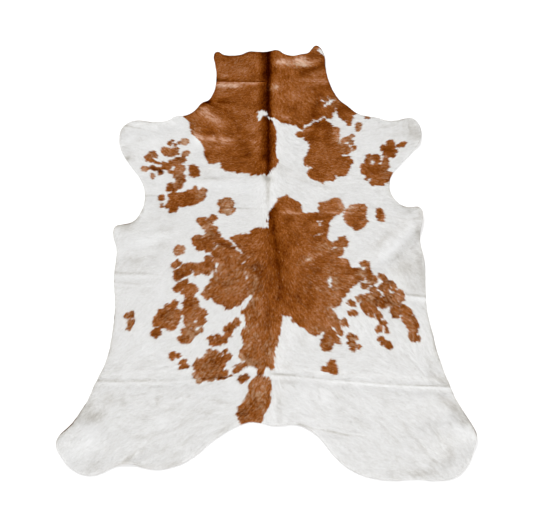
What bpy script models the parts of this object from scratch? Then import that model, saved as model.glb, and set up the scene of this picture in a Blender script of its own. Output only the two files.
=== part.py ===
"""Cowhide rug: one whole hide lying on the floor, neck towards +Y and hind legs towards -Y.

The hide is one closed sheet of even thickness, and its outline is a smooth closed curve. It lies flat on the
floor, but for the soft troughs of its storage folds and a few low swells, where it stands off the floor.
Metres, +Z up. The origin is on the floor, under the middle of the hide.
"""

import math

import bmesh
import bpy
from mathutils import Vector

# Driving dimensions, in metres.
HIDE_THICKNESS = 0.004  # leather and the roots of its short hair
OUTLINE_STEPS = 4  # straight pieces between two points of the outline

CELL = 0.056  # longest side of the sheet's squares, away from the folds
EDGE_SNAP = 0.003  # a point of the sheet this near a cut is taken as on it
WELD = 0.00001  # points this near each other are one
LEVEL = 0.5  # a face whose normal rises or falls more than this is the sheet's top or its underside

# A fold's cross section, in widths from its middle line.
TROUGH_LINES = (-2.4, -1.0, 0.0, 1.0, 2.4)
SWELL_LINES = (-0.5, 0.0, 0.5)
END_TAPER = 1.5  # a fold dies out over this many of its widths, past each end

# The edge of the hide as (x, y), clockwise from above, starting at the left corner of the neck.
OUTLINE = {
    "far edge of the neck": [
        (-0.286, 1.156), (-0.250, 1.133), (-0.200, 1.126), (-0.150, 1.132),
        (-0.100, 1.156), (-0.045, 1.153), (0.005, 1.155), (0.060, 1.166),
        (0.105, 1.136), (0.155, 1.124), (0.200, 1.138), (0.237, 1.143),
        (0.262, 1.178), (0.286, 1.191), (0.308, 1.175),
    ],
    "right side of the neck": [
        (0.329, 1.118), (0.332, 1.050), (0.345, 0.960), (0.368, 0.888),
        (0.405, 0.818), (0.440, 0.788), (0.490, 0.738),
    ],
    "right front leg": [
        (0.550, 0.716), (0.612, 0.703), (0.650, 0.687), (0.705, 0.687),
        (0.776, 0.702), (0.822, 0.675), (0.839, 0.618), (0.826, 0.558),
        (0.785, 0.498), (0.710, 0.413), (0.666, 0.360), (0.644, 0.295),
        (0.650, 0.230), (0.682, 0.177), (0.718, 0.158), (0.752, 0.155),
        (0.784, 0.160), (0.799, 0.138),
    ],
    "right flank": [
        (0.796, 0.085), (0.780, 0.010), (0.775, -0.045), (0.788, -0.150),
        (0.785, -0.250), (0.776, -0.375), (0.792, -0.500), (0.818, -0.650),
    ],
    "right hind leg": [
        (0.850, -0.765), (0.885, -0.862), (0.932, -0.942), (0.950, -0.990),
        (0.930, -1.058), (0.890, -1.135), (0.835, -1.178), (0.765, -1.191),
        (0.660, -1.185), (0.550, -1.191), (0.450, -1.175), (0.365, -1.140),
        (0.300, -1.084),
    ],
    "rump": [
        (0.225, -0.993), (0.145, -0.950), (0.085, -0.947), (0.035, -0.953),
        (-0.045, -0.937), (-0.085, -0.937), (-0.150, -0.961), (-0.250, -1.024),
    ],
    "left hind leg": [
        (-0.330, -1.093), (-0.420, -1.134), (-0.490, -1.146), (-0.560, -1.133),
        (-0.615, -1.120), (-0.670, -1.128), (-0.725, -1.155), (-0.790, -1.171),
        (-0.860, -1.148), (-0.920, -1.090), (-0.953, -1.038), (-0.943, -1.000),
        (-0.885, -0.938), (-0.837, -0.860),
    ],
    "left flank": [
        (-0.802, -0.765), (-0.758, -0.650), (-0.742, -0.520), (-0.740, -0.390),
        (-0.759, -0.220), (-0.755, -0.090),
    ],
    "left front leg": [
        (-0.780, 0.000), (-0.776, 0.046), (-0.738, 0.060), (-0.690, 0.074),
        (-0.648, 0.135), (-0.634, 0.230), (-0.660, 0.315), (-0.735, 0.422),
        (-0.785, 0.510), (-0.796, 0.585), (-0.767, 0.663), (-0.712, 0.689),
        (-0.612, 0.675), (-0.537, 0.688), (-0.495, 0.720), (-0.450, 0.719),
    ],
    "left side of the neck": [
        (-0.385, 0.762), (-0.356, 0.802), (-0.325, 0.817), (-0.300, 0.862),
        (-0.284, 0.950), (-0.293, 1.065), (-0.303, 1.125),
    ],
}

# Storage folds: a sharp line that touches the floor, between two low shoulders.
# name, start (x, y), end (x, y), width from the line to a shoulder's top, height of the shoulders
TROUGHS = [
    ("neck fold, left", (-0.30, 0.947), (-0.02, 0.945), 0.020, 0.0060),
    ("neck fold, right", (0.05, 0.950), (0.36, 0.936), 0.024, 0.0035),
    ("shoulder fold, left", (-0.46, 0.336), (-0.03, 0.326), 0.030, 0.0050),
    ("shoulder fold, right", (0.06, 0.305), (0.46, 0.262), 0.030, 0.0030),
    ("belly fold, left", (-0.77, -0.205), (-0.50, -0.216), 0.022, 0.0040),
    ("belly fold, right", (0.60, -0.325), (0.80, -0.352), 0.024, 0.0050),
    ("hind fold, left", (-0.82, -0.746), (-0.36, -0.744), 0.020, 0.0060),
    ("hind fold, left of the tail", (-0.36, -0.738), (-0.06, -0.722), 0.020, 0.0040),
    ("hind fold, right of the tail", (0.00, -0.714), (0.36, -0.746), 0.020, 0.0070),
    ("hind fold, right", (0.36, -0.746), (0.87, -0.779), 0.020, 0.0080),
    ("rump fold", (0.15, -0.952), (0.47, -0.998), 0.018, 0.0040),
    ("back fold, behind the shoulders", (0.000, 0.350), (0.004, 0.130), 0.022, 0.0050),
    ("back fold, at the rump", (0.052, -0.700), (0.050, -0.960), 0.026, 0.0040),
]

# Swells: broad rounded ridges where the hide stands off the floor.
# name, start (x, y), end (x, y), half width, height
SWELLS = [
    ("right flank", (0.80, 0.080), (0.47, -0.200), 0.075, 0.0130),
    ("right flank, lower", (0.80, -0.100), (0.66, -0.270), 0.080, 0.0080),
    ("left flank", (-0.79, 0.010), (-0.60, -0.060), 0.075, 0.0080),
    ("left flank, lower", (-0.76, -0.130), (-0.56, -0.120), 0.060, 0.0060),
    ("right side of the neck", (0.35, 1.060), (0.16, 1.000), 0.050, 0.0080),
    ("left shoulder", (-0.40, 0.790), (-0.14, 0.690), 0.060, 0.0070),
    ("left front leg", (-0.80, 0.620), (-0.56, 0.640), 0.060, 0.0070),
    ("left elbow", (-0.67, 0.240), (-0.50, 0.200), 0.055, 0.0060),
    ("right front leg", (0.80, 0.700), (0.82, 0.530), 0.045, 0.0080),
    ("right elbow", (0.64, 0.200), (0.80, 0.130), 0.050, 0.0070),
    ("left hock", (-0.88, -0.880), (-0.70, -0.960), 0.075, 0.0100),
    ("left hind foot", (-0.86, -1.080), (-0.72, -1.060), 0.070, 0.0060),
    ("right hock", (0.93, -0.860), (0.72, -0.920), 0.070, 0.0080),
    ("right hind foot", (0.92, -1.020), (0.74, -1.120), 0.070, 0.0090),
    ("notch of the left hind leg", (-0.63, -1.130), (-0.56, -1.060), 0.040, 0.0060),
    ("ear", (0.28, 1.200), (0.31, 1.120), 0.040, 0.0090),
]


def empty_scene():
    for thing in list(bpy.data.objects):
        bpy.data.objects.remove(thing, do_unlink=True)
    for collection in list(bpy.data.collections):
        bpy.data.collections.remove(collection)


def outline_curve():
    """The edge of the hide as a smooth closed 2D curve, filled, and as thick as the hide."""
    points = [point for stretch in OUTLINE.values() for point in stretch]
    curve = bpy.data.curves.new("hide outline", "CURVE")
    curve.dimensions = "2D"
    curve.fill_mode = "BOTH"
    curve.extrude = HIDE_THICKNESS / 2
    curve.resolution_u = OUTLINE_STEPS
    edge = curve.splines.new("BEZIER")
    edge.bezier_points.add(len(points) - 1)
    edge.use_cyclic_u = True
    for knot, (x, y) in zip(edge.bezier_points, points):
        knot.co = (x, y, 0)
        knot.handle_left_type = "AUTO"
        knot.handle_right_type = "AUTO"
    return bpy.data.objects.new("hide outline", curve)


def slab_from(curve_object, collection):
    """The curve made a closed mesh, with one face above and one below."""
    collection.objects.link(curve_object)
    graph = bpy.context.evaluated_depsgraph_get()
    mesh = bpy.data.meshes.new_from_object(curve_object.evaluated_get(graph))
    bpy.data.objects.remove(curve_object, do_unlink=True)
    slab = bmesh.new()
    slab.from_mesh(mesh)
    bpy.data.meshes.remove(mesh)
    bmesh.ops.remove_doubles(slab, verts=slab.verts, dist=WELD)
    for side in (1, -1):
        cap = [face for face in slab.faces if face.normal.z * side > LEVEL]
        bmesh.ops.dissolve_faces(slab, faces=cap, use_verts=False)
    return slab


def extent(slab, axis):
    """The hide's lowest and highest place along an axis."""
    places = [vert.co[axis] for vert in slab.verts]
    return min(places), max(places)


def set_on_origin(slab):
    """The hide's underside is put on the floor, and its middle over the origin."""
    middle_x = sum(extent(slab, 0)) / 2
    middle_y = sum(extent(slab, 1)) / 2
    underside, _ = extent(slab, 2)
    bmesh.ops.translate(slab, verts=slab.verts, vec=(-middle_x, -middle_y, -underside))


def evenly(first, last, spacing):
    """Places between two others, no further apart than the spacing."""
    count = max(1, math.ceil((last - first) / spacing))
    return [first + (last - first) * step / count for step in range(1, count)]


def cut_along(slab, faces, point, direction):
    """Each of the faces is divided where the line crosses it."""
    corners = dict.fromkeys(vert for face in faces for vert in face.verts)
    sides = dict.fromkeys(edge for face in faces for edge in face.edges)
    bmesh.ops.bisect_plane(
        slab,
        geom=list(corners) + list(sides) + list(faces),
        dist=EDGE_SNAP,
        plane_co=point,
        plane_no=Vector((-direction.y, direction.x, 0)).normalized(),
    )


def from_line(point, start, end):
    """How far a point is to the side of a fold's middle line, and how far past its nearer end."""
    run = Vector(end) - Vector(start)
    offset = Vector((point[0], point[1])) - Vector(start)
    along = offset.dot(run.normalized())
    aside = abs(run.normalized().cross(offset))
    past = max(-along, along - run.length, 0)
    return aside, past


def cut_rows_and_columns(slab):
    """The whole sheet is divided into squares."""
    for y in evenly(*extent(slab, 1), CELL):
        cut_along(slab, slab.faces[:], Vector((0, y, 0)), Vector((1, 0, 0)))
    for x in evenly(*extent(slab, 0), CELL):
        cut_along(slab, slab.faces[:], Vector((x, 0, 0)), Vector((0, 1, 0)))


def cut_at_fold(slab, start, end, width, lines):
    """The squares that a fold crosses are divided along it, so that the sheet can bend there."""
    run = (Vector(end) - Vector(start)).to_3d()
    aside = Vector((-run.y, run.x, 0)).normalized()
    reach = lines[-1] * width + CELL / 2
    for line in lines:
        near = []
        for face in slab.faces:
            distance, past = from_line(face.calc_center_median(), start, end)
            if abs(face.normal.z) > LEVEL and distance < reach and past < END_TAPER * width:
                near.append(face)
        cut_along(slab, near, Vector(start).to_3d() + aside * width * line, run)


def fade(share):
    """From one to nothing in a smooth curve, as the share goes from nothing to one."""
    return 0.5 + 0.5 * math.cos(math.pi * min(max(share, 0), 1))


def trough_lift(point, start, end, width, height):
    aside, past = from_line(point, start, end)
    across = aside / width
    if across < 1:
        section = math.sin(math.pi / 2 * across)
    else:
        section = fade((across - 1) / (TROUGH_LINES[-1] - 1))
    return height * section * fade(past / (END_TAPER * width))


def swell_lift(point, start, end, width, height):
    aside, past = from_line(point, start, end)
    return height * fade(aside / width) * fade(past / (END_TAPER * width))


def lift(point):
    """How far the hide stands off the floor at a place."""
    troughs = sum(trough_lift(point, *sizes) for _, *sizes in TROUGHS)
    swells = sum(swell_lift(point, *sizes) for _, *sizes in SWELLS)
    return troughs + swells


def coat_material():
    """White hair, the colour of most of the hide."""
    material = bpy.data.materials.new("white coat")
    material.use_nodes = True
    finish = material.node_tree.nodes["Principled BSDF"]
    finish.inputs["Base Color"].default_value = (0.78, 0.77, 0.74, 1)
    finish.inputs["Roughness"].default_value = 0.55
    finish.inputs["Metallic"].default_value = 0.0
    return material


def make_hide(collection):
    """The hide: cut to its outline, divided, and folded."""
    slab = slab_from(outline_curve(), collection)
    cut_rows_and_columns(slab)
    for _, start, end, width, _ in TROUGHS:
        cut_at_fold(slab, start, end, width, TROUGH_LINES)
    for _, start, end, width, _ in SWELLS:
        cut_at_fold(slab, start, end, width, SWELL_LINES)
    bmesh.ops.triangulate(slab, faces=slab.faces[:])
    for vert in slab.verts:
        vert.co.z += lift(vert.co)
    set_on_origin(slab)
    bmesh.ops.recalc_face_normals(slab, faces=slab.faces[:])
    mesh = bpy.data.meshes.new("hide")
    slab.to_mesh(mesh)
    slab.free()
    mesh.materials.append(coat_material())
    hide = bpy.data.objects.new("hide", mesh)
    collection.objects.link(hide)
    return hide


def main():
    empty_scene()
    rug = bpy.data.collections.new("cowhide rug")
    bpy.context.scene.collection.children.link(rug)
    make_hide(rug)


main()
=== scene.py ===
"""Cowhide rug, dressed: the hide's coat of short hair, its natural patches, its cut edge and its suede side.

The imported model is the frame. One sheet stands for its node "hide": it keeps the node's edge, its storage
folds and its swells. Five pieces of hair lie on it, and their blades follow the growth of the coat.
Metres, +Z up, neck towards +Y. The charted lines, patches and soft places are written in millimetres.
"""

import math

import bmesh
import bpy
import numpy as np
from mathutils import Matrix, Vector
from mathutils.geometry import delaunay_2d_cdt

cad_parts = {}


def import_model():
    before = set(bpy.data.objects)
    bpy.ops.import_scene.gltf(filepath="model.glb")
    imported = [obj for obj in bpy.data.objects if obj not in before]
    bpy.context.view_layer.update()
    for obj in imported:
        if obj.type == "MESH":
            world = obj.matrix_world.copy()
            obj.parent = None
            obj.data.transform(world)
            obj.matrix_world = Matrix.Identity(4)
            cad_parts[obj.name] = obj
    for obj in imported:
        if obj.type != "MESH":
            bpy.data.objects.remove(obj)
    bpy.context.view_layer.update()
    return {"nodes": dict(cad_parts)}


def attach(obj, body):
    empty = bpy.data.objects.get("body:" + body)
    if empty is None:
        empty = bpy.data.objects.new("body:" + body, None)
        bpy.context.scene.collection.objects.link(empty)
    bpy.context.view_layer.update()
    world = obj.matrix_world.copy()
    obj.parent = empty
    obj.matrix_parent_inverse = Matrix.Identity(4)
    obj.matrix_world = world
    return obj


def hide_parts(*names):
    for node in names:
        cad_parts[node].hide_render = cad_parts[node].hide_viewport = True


MILLIMETRES = 1000  # in a metre
SEED = 41  # every draw starts from this number and one of its own, here or in a table
DRAWS = {"growth": 1, "nicks": 4, "top": 8, "under": 9, "hair": 10, "lobes": 12, "clumps": 14, "tufts": 20}

# Sizes of the hide, in metres.
FLAT_AREA = 3.12
LEATHER = 0.0026  # thickness of the tanned skin
EDGE_ROUND = 0.0006  # how far its cut edge is rounded down
BARE_EDGE = 0.0030  # the hair stops this far from the edge
TOP_SPACING = 0.0066  # between points of the sheet's top
UNDER_SPACING = 0.018  # between points of its underside
POINT_SPREAD = 0.12  # how far a point is off its even place, as a share of the spacing
RIM_SPACING = 0.0050  # between points of its edge
RIM_SOFTNESS = 2.0  # points over which the edge is smoothed
SMOOTHING_REACH = 3  # past this many times that number, no point counts
RAGGED = 0.0011  # unevenness of the cut edge
NICKS = [(1, 1.2), (2, 4)]  # what that is made of: how strong, and over how many points
SKIN_GRAIN = 0.00025  # unevenness of the skin under the hair
GRAIN_FROM_EDGE = 0.010  # that unevenness starts over this distance from the edge
WELD = 0.00001  # points this near each other are one
LEVEL = 0.5  # a face whose normal rises more than this is the top

# Sizes of the hair.
HAIR_COUNT = 780000
HAIR_LENGTH = 0.0130
LENGTHS = (0.78, 1.25)  # the shortest and the longest, as shares of it
SHORTEST = 0.0028  # no hair is cut back further
PARTED = 0.6  # how much shorter the hair is in a fold's line
HAIR_WIDTH = 0.00135
WIDTHS = (0.75, 1.25)  # the narrowest and the widest, as shares of it
HAIR_RISE = 0.0017  # the tip's height over the skin
HIGHEST_RISE = 2.4  # as a share of it
EDGE_RISE = (0.002, 0.25)  # tips nearer the edge than this have only this share of it
ROOT_RISE = 0.0002  # the root's height over the skin
ROOT_DEPTH = 0.0004  # most that one side of a root is lower
OVERHANG = 0.0045  # most that a tip reaches past the edge
KEPT_BACK = 0.6  # tips stop at this share of the bare edge
KEPT_BACK_SPREAD = (0.2, 1.0)  # how much that and the overhang differ from hair to hair
CUT_BACK = 1.05  # how much a hair that reaches too far is cut back, as a share of that
TURNED_OUT = 1.6  # how much the hanging hair turns outward
CLUMP = 0.0050  # between the middles of the clumps that hairs lean together in
CLUMPING = 0.38  # how far a tip leans to the middle of its clump
HEADINGS = (0.10, 0.06, 0.13)  # how headings differ in radians: by lock, by strand, by hair
ROLLS = (0.22, 0.10)  # how blades roll in radians: by hair, by strand
RISES = (0.25, 0.30)  # how rises differ, as shares: by hair, by lock
TONES_OF_HAIR = (0.12, 0.105)  # how the brown differs: by clump, by hair
LINE_OF_HAIR = (0.25, 0.12)  # how the dark line of the back differs
SHADES_OF_HAIR = (0.36, 0.20)  # how the white differs
FRINGE_OF_HAIR = 0.0011  # how far single hairs of one colour stand among the other
PALE_CHANCE = (0.6, 0.8)  # of a hair in a flecked place: for all hairs, and more with its clump
PALE_SHARE = (0.35, 0.85)  # the share of the pale hairs in the brown that are quite white
PALE_BETWEEN = 0.15  # the same for the hairs between them

# The chart: a fine grid over the hide, on which its forms and colours are worked out.
CHART_STEP = 0.004
CHART_HALF = (1.0, 1.24)
LAST_CELL = 1.001  # places past the chart's end are read from its last cell
FAR = 0.05  # distances to an outline are kept up to this one
SEEN = 0.30  # where along a hair its colour is taken from
PHOTO_SCALE = 1.004  # the photograph sees the coat above the floor that the colours were measured on
PHOTO_SHIFT = 0.0022
HANGING = 0.010  # the hair turns outward this far in from the edge at the tail end, and hangs over it
EDGE_LINE = 0.0045  # the coat is darker this far in from the edge: painted shade of its curled rim, where the hair also thins
EDGE_SHADE = 0.010  # the coat is thin and painted in grey shade this far in from the edge, where it grows away from it
AGAINST_EDGE = 0.75  # with more of it, more of the edge counts as one that the coat grows away from
TAIL_END = (0.15, 1.3)  # how much of the edge counts as the tail end: at its sides, and by its direction
BARE_SHARES = (0.45, 0.7)  # of the bare edge: everywhere, and more where the coat grows away from it
BARE_UNEVEN = 0.4  # how much that differs from lock to lock

# The noises of the coat: size of their features, number of their draws, steps they are combed over.
NOISES = {
    "fine": (CHART_STEP, 5, 3),
    "locks": (0.008, 6, 4),
    "broad": (0.036, 7, 5),
    "glints": (0.0065, 24, 2),
    "flecks": (0.0055, 21, 1),
    "flecked places": (0.014, 22, 0),
    "grain": (0.0045, 11, 0),
    "dabs": (0.008, 23, 1),
    "blotches": (0.050, 15, 0),
}
# How strong each of them is in the brown, in the white, in the edge of a patch and in the mixed hair.
BROWN_GRAIN = {
    "grain": 0.042, "dabs": 0.040, "fine": 0.018, "locks": 0.006, "broad": 0.020, "blotches": 0.028,
}
WHITE_GRAIN = {"fine": 0.10, "locks": 0.055, "broad": 0.045}
PATCH_FRINGE = {"fine": 0.0020, "locks": 0.0010}
MOTTLING = {"flecks": 1.1, "flecked places": 0.3}
MOTTLED = (0.9, 1.4)  # the mixed hair: how much on average, and how much it varies
MOST_MOTTLED = 4  # most of the mixed hair, as a share of its average
GLINTING = 0.32  # how uneven the lighter places are, their painted sheen streaked with painted glints
PALE_MIXED = 0.34  # how much white hair the pale spots hold
# How much lighter the brown gets, and the white: in pale spots, in and beside a fold's line, at the edge.
# Those of the folds' lines are painted shade and painted highlights; those of the edge, painted shade where
# the coat thins.
BROWN_SHOWS = {"pale": 0.06, "fold_shade": -0.30, "fold_highlight": 0.28, "dark_rim_line": -0.28}
WHITE_SHOWS = {"rim_shade_and_thin_coat": -0.8, "dark_rim_line": -0.5, "fold_shade": -0.9, "fold_highlight": 0.6}
WHITE_START = 0.04  # added everywhere
STREAKED = (0.6, 0.3)  # how strong the white's noises are at the neck, and how much more at the tail
STREAKED_FROM, STREAKED_OVER = -0.15, 0.6  # where along the hide that starts, and over what length
DABBED = (0.25, 0.75)  # how strong the brown's dabs are at the neck, and how much more behind it
DABBED_FROM, DABBED_OVER = 0.45, 0.25
# The brown has few dabs in a strip beside the back: its middle, the width to its side over which the dabs
# come back, and the share of that width without any.
SMOOTH_STRIP = (0.2, 0.2, 0.6)

# The edges of the patches.
FILLET = 0.004  # where two forms meet
PATCH_RIM = (0.005, 0.9)  # between points of a patch's edge, and the points it is smoothed over
PATCH_GROWTH = 0.0024  # how far the brown grows past its charted edge, before its tufts are cut
PATCH_BLEND = 0.0026  # half of the width in which brown turns to white
LOBES = (0.022, 0.003)  # size and depth of the lobes of an edge
TUFT_STEP = 0.0080  # between the tufts of an edge
TUFT_NOTCH = 0.0038  # depth of the notches between them
TUFT_DEPTHS = (0.0015, 1.4 * TUFT_STEP)  # how far inside the edge their middles are
TUFT_REACHES = (-0.0026, 0.0032)  # how far past the edge their ends are, at least and at most
TUFT_WINDOW = 0.02  # the chart is drawn this far round a tuft
PALE_EDGE = 0.02  # the width in which a pale spot ends

# Colours, as red, green and blue in linear light, each with its place in its range. The pale ones are the
# white hairs in the brown.
# The lightest browns are where the coat's own tan and its painted highlights lie.
BROWNS = [
    (0.00, (0.018, 0.0010, 0.0001)), (0.22, (0.085, 0.0135, 0.0006)), (0.40, (0.192, 0.045, 0.003)),
    (0.52, (0.285, 0.083, 0.010)), (0.66, (0.400, 0.145, 0.044)), (0.82, (0.530, 0.272, 0.160)),
    (1.00, (0.720, 0.480, 0.350)),
]
PALES = [(0.25, (0.34, 0.165, 0.065)), (0.55, (0.47, 0.295, 0.170)), (0.90, (0.72, 0.60, 0.47))]
# The greys of the white are reached mostly by its painted shade.
WHITES = [
    (0.00, (0.46, 0.44, 0.405)), (0.35, (0.63, 0.618, 0.595)), (0.62, (0.745, 0.742, 0.735)),
    (1.00, (0.82, 0.82, 0.818)),
]
LEATHERS = [(0.2, (0.045, 0.024, 0.014)), (0.5, (0.105, 0.062, 0.038)), (0.8, (0.21, 0.14, 0.095))]
SUEDES = [(0.25, (0.44, 0.38, 0.30)), (0.5, (0.56, 0.50, 0.41)), (0.75, (0.66, 0.60, 0.51))]
FLOORS = [(0.3, (0.93, 0.93, 0.93)), (0.7, (0.95, 0.95, 0.95))]
WARMTH = 2.2  # brown and white are mixed at this root of their values, which keeps the mix warm
SPECK_NOISE = (900, 2.0, 0.6)  # a last fine grain of every colour: scale, detail, roughness
SPECK_RANGE = (0.2, 0.8)  # the grain's values that make the most and the least of it
BROWN_SPECK = 0.05  # how much darker or lighter it makes the brown
WHITE_SPECK = 0.15
BROWN_MIDDLE = 0.5  # where a tone of nothing is in the range of browns
LINE_DARKENS = 0.52  # how much darker the line of the back is where it's deepest
WHITE_MIDDLE = 0.62  # where a shade of nothing is in the range of whites
SHADE_SCALE = 0.5  # the share of the range of whites that a shade of one takes up
SKIN_BLEND = 0.0006  # half of the width in which the coat's skin turns to leather

# The maps of the pieces, in metres but for the shares of the square.
MAP_CORNER = (0.965, 1.21)  # from the hide's middle to the corner of the square
MAP_SIDE = 2.42  # the length that the side of the square stands for
UNDER_PLACE = (0.81, 0.02)  # the underside is small and beside the top, at this place in the square
UNDER_MAP_SIDE = 11.5  # the length that the side of the square stands for there
WALL_STRIP = 0.003  # the width of the strip round the top that the cut edge has
MAP_MARGIN = 0.004  # a free strip round the map of the hair, as a share of the square

# How the sheet is filled with points, as shares.
INSET_KEPT = 0.8  # of the inset: a point of the inner ring nearer the edge is left out
ROWS_FROM_INSET = 0.55  # of the spacing: how far inside the inner ring the rows start
TOUCHING = 1e-7  # points this near each other are one when the sheet is filled

# From the tail end to the neck.
HAIR_PIECES = [
    "hair_of_the_hind_legs",
    "hair_of_the_rump",
    "hair_of_the_back",
    "hair_of_the_shoulders",
    "hair_of_the_neck",
]

# The studio and the photograph's view.
FLOOR_SIDE = 40
FLOOR_GAP = 0.0006
SKY_STRENGTH = 0.62
# name, place, what it points at, its two sizes, power
LIGHTS = [
    ("far softbox", (-4.0, 8.5, 7.0), (0, 0, 0), (4.5, 3.0), 900),
    ("overhead", (0.8, -2.0, 6.0), (0, -0.5, 0), (4.0, 4.0), 170),
]
CAMERA_ELEVATION = 68  # degrees above the floor
CAMERA_DISTANCE = 3.365
CAMERA_AIM = (0, -0.16, 0)
SENSOR = 36  # its width in millimetres
PHOTO_WIDTH_PIXELS = 533
FOCAL_PIXELS = 673  # the focal length in the photograph's pixels

# The folds and swells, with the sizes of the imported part, in metres.
# name, start (x, y), end (x, y), width from the line to a shoulder's top, height of the shoulders
TROUGHS = [
    ("neck fold, left", (-0.30, 0.947), (-0.02, 0.945), 0.020, 0.0060),
    ("neck fold, right", (0.05, 0.950), (0.36, 0.936), 0.024, 0.0035),
    ("shoulder fold, left", (-0.46, 0.326), (-0.03, 0.322), 0.030, 0.0050),
    ("shoulder fold, right", (0.06, 0.305), (0.46, 0.262), 0.030, 0.0030),
    ("belly fold, left", (-0.77, -0.205), (-0.50, -0.216), 0.022, 0.0040),
    ("belly fold, right", (0.60, -0.325), (0.80, -0.352), 0.024, 0.0050),
    ("hind fold, left", (-0.82, -0.746), (-0.36, -0.744), 0.020, 0.0060),
    ("hind fold, left of the tail", (-0.36, -0.738), (-0.06, -0.722), 0.020, 0.0040),
    ("hind fold, right of the tail", (0.00, -0.714), (0.36, -0.746), 0.020, 0.0070),
    ("hind fold, right", (0.36, -0.746), (0.87, -0.779), 0.020, 0.0080),
    ("rump fold", (0.15, -0.952), (0.47, -0.998), 0.018, 0.0040),
    ("back fold, behind the shoulders", (0.004, 0.130), (0.000, 0.350), 0.022, 0.0050),
    ("back fold, at the rump", (0.050, -0.960), (0.052, -0.700), 0.026, 0.0040),
]
TROUGH_END = 2.4  # widths from the line to where a shoulder ends
CREASED = 0.45  # under one, a fold is sharper at its line
PRESSED = 0.60  # the share of a fold's height that is left under the hair
PARTING = 0.012  # the hair is shorter this near to a fold's line
END_TAPER = 1.5  # a fold dies out over this many of its widths, past each end

# name, start (x, y), end (x, y), half width, height
SWELLS = [
    ("right flank", (0.80, 0.080), (0.47, -0.200), 0.075, 0.0130),
    ("right flank, lower", (0.80, -0.100), (0.66, -0.270), 0.080, 0.0080),
    ("left flank", (-0.79, 0.010), (-0.60, -0.060), 0.075, 0.0080),
    ("left flank, lower", (-0.76, -0.130), (-0.56, -0.120), 0.060, 0.0060),
    ("right side of the neck", (0.35, 1.060), (0.16, 1.000), 0.050, 0.0080),
    ("left shoulder", (-0.40, 0.790), (-0.14, 0.690), 0.060, 0.0070),
    ("left front leg", (-0.80, 0.620), (-0.56, 0.640), 0.060, 0.0070),
    ("left elbow", (-0.67, 0.240), (-0.50, 0.200), 0.055, 0.0060),
    ("right front leg", (0.80, 0.700), (0.82, 0.530), 0.045, 0.0080),
    ("right elbow", (0.64, 0.200), (0.80, 0.130), 0.050, 0.0070),
    ("left hock", (-0.88, -0.880), (-0.70, -0.960), 0.075, 0.0100),
    ("left hind foot", (-0.86, -1.080), (-0.72, -1.060), 0.070, 0.0060),
    ("right hock", (0.93, -0.860), (0.72, -0.920), 0.070, 0.0080),
    ("right hind foot", (0.92, -1.020), (0.74, -1.120), 0.070, 0.0090),
    ("notch of the left hind leg", (-0.63, -1.130), (-0.56, -1.060), 0.040, 0.0060),
    ("ear", (0.28, 1.200), (0.31, 1.120), 0.040, 0.0090),
]

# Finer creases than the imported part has, each a soft ridge.
# name, start (x, y), end (x, y), half width, height
CREASES = [
    ("behind the left back spot", (-0.140, 0.160), (0.000, 0.162), 0.012, 0.0012),
    ("right hind fold, second", (0.640, -0.794), (0.720, -0.806), 0.012, 0.0016),
    ("left elbow", (-0.640, 0.226), (-0.560, 0.222), 0.012, 0.0014),
    ("left front leg, upper", (-0.750, 0.646), (-0.650, 0.612), 0.013, 0.0014),
    ("left front leg, lower", (-0.740, 0.590), (-0.670, 0.560), 0.012, 0.0010),
    ("left flank, first", (-0.740, -0.020), (-0.600, 0.030), 0.016, 0.0014),
    ("left flank, second", (-0.740, -0.330), (-0.620, -0.350), 0.014, 0.0010),
    ("right flank, first", (0.700, -0.060), (0.620, -0.130), 0.014, 0.0018),
    ("right flank, second", (0.760, -0.020), (0.690, -0.100), 0.013, 0.0012),
    ("right foot", (0.880, -1.020), (0.780, -1.060), 0.014, 0.0016),
    ("left foot", (-0.900, -1.050), (-0.820, -1.020), 0.014, 0.0014),
]

# What is uneven besides: size of the forms, number of their draw, lowest, highest, height
UNEVEN = [(0.14, 2, -1.5, 2.5, 0.0006), (0.045, 3, -2, 2, 0.0002)]

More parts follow.
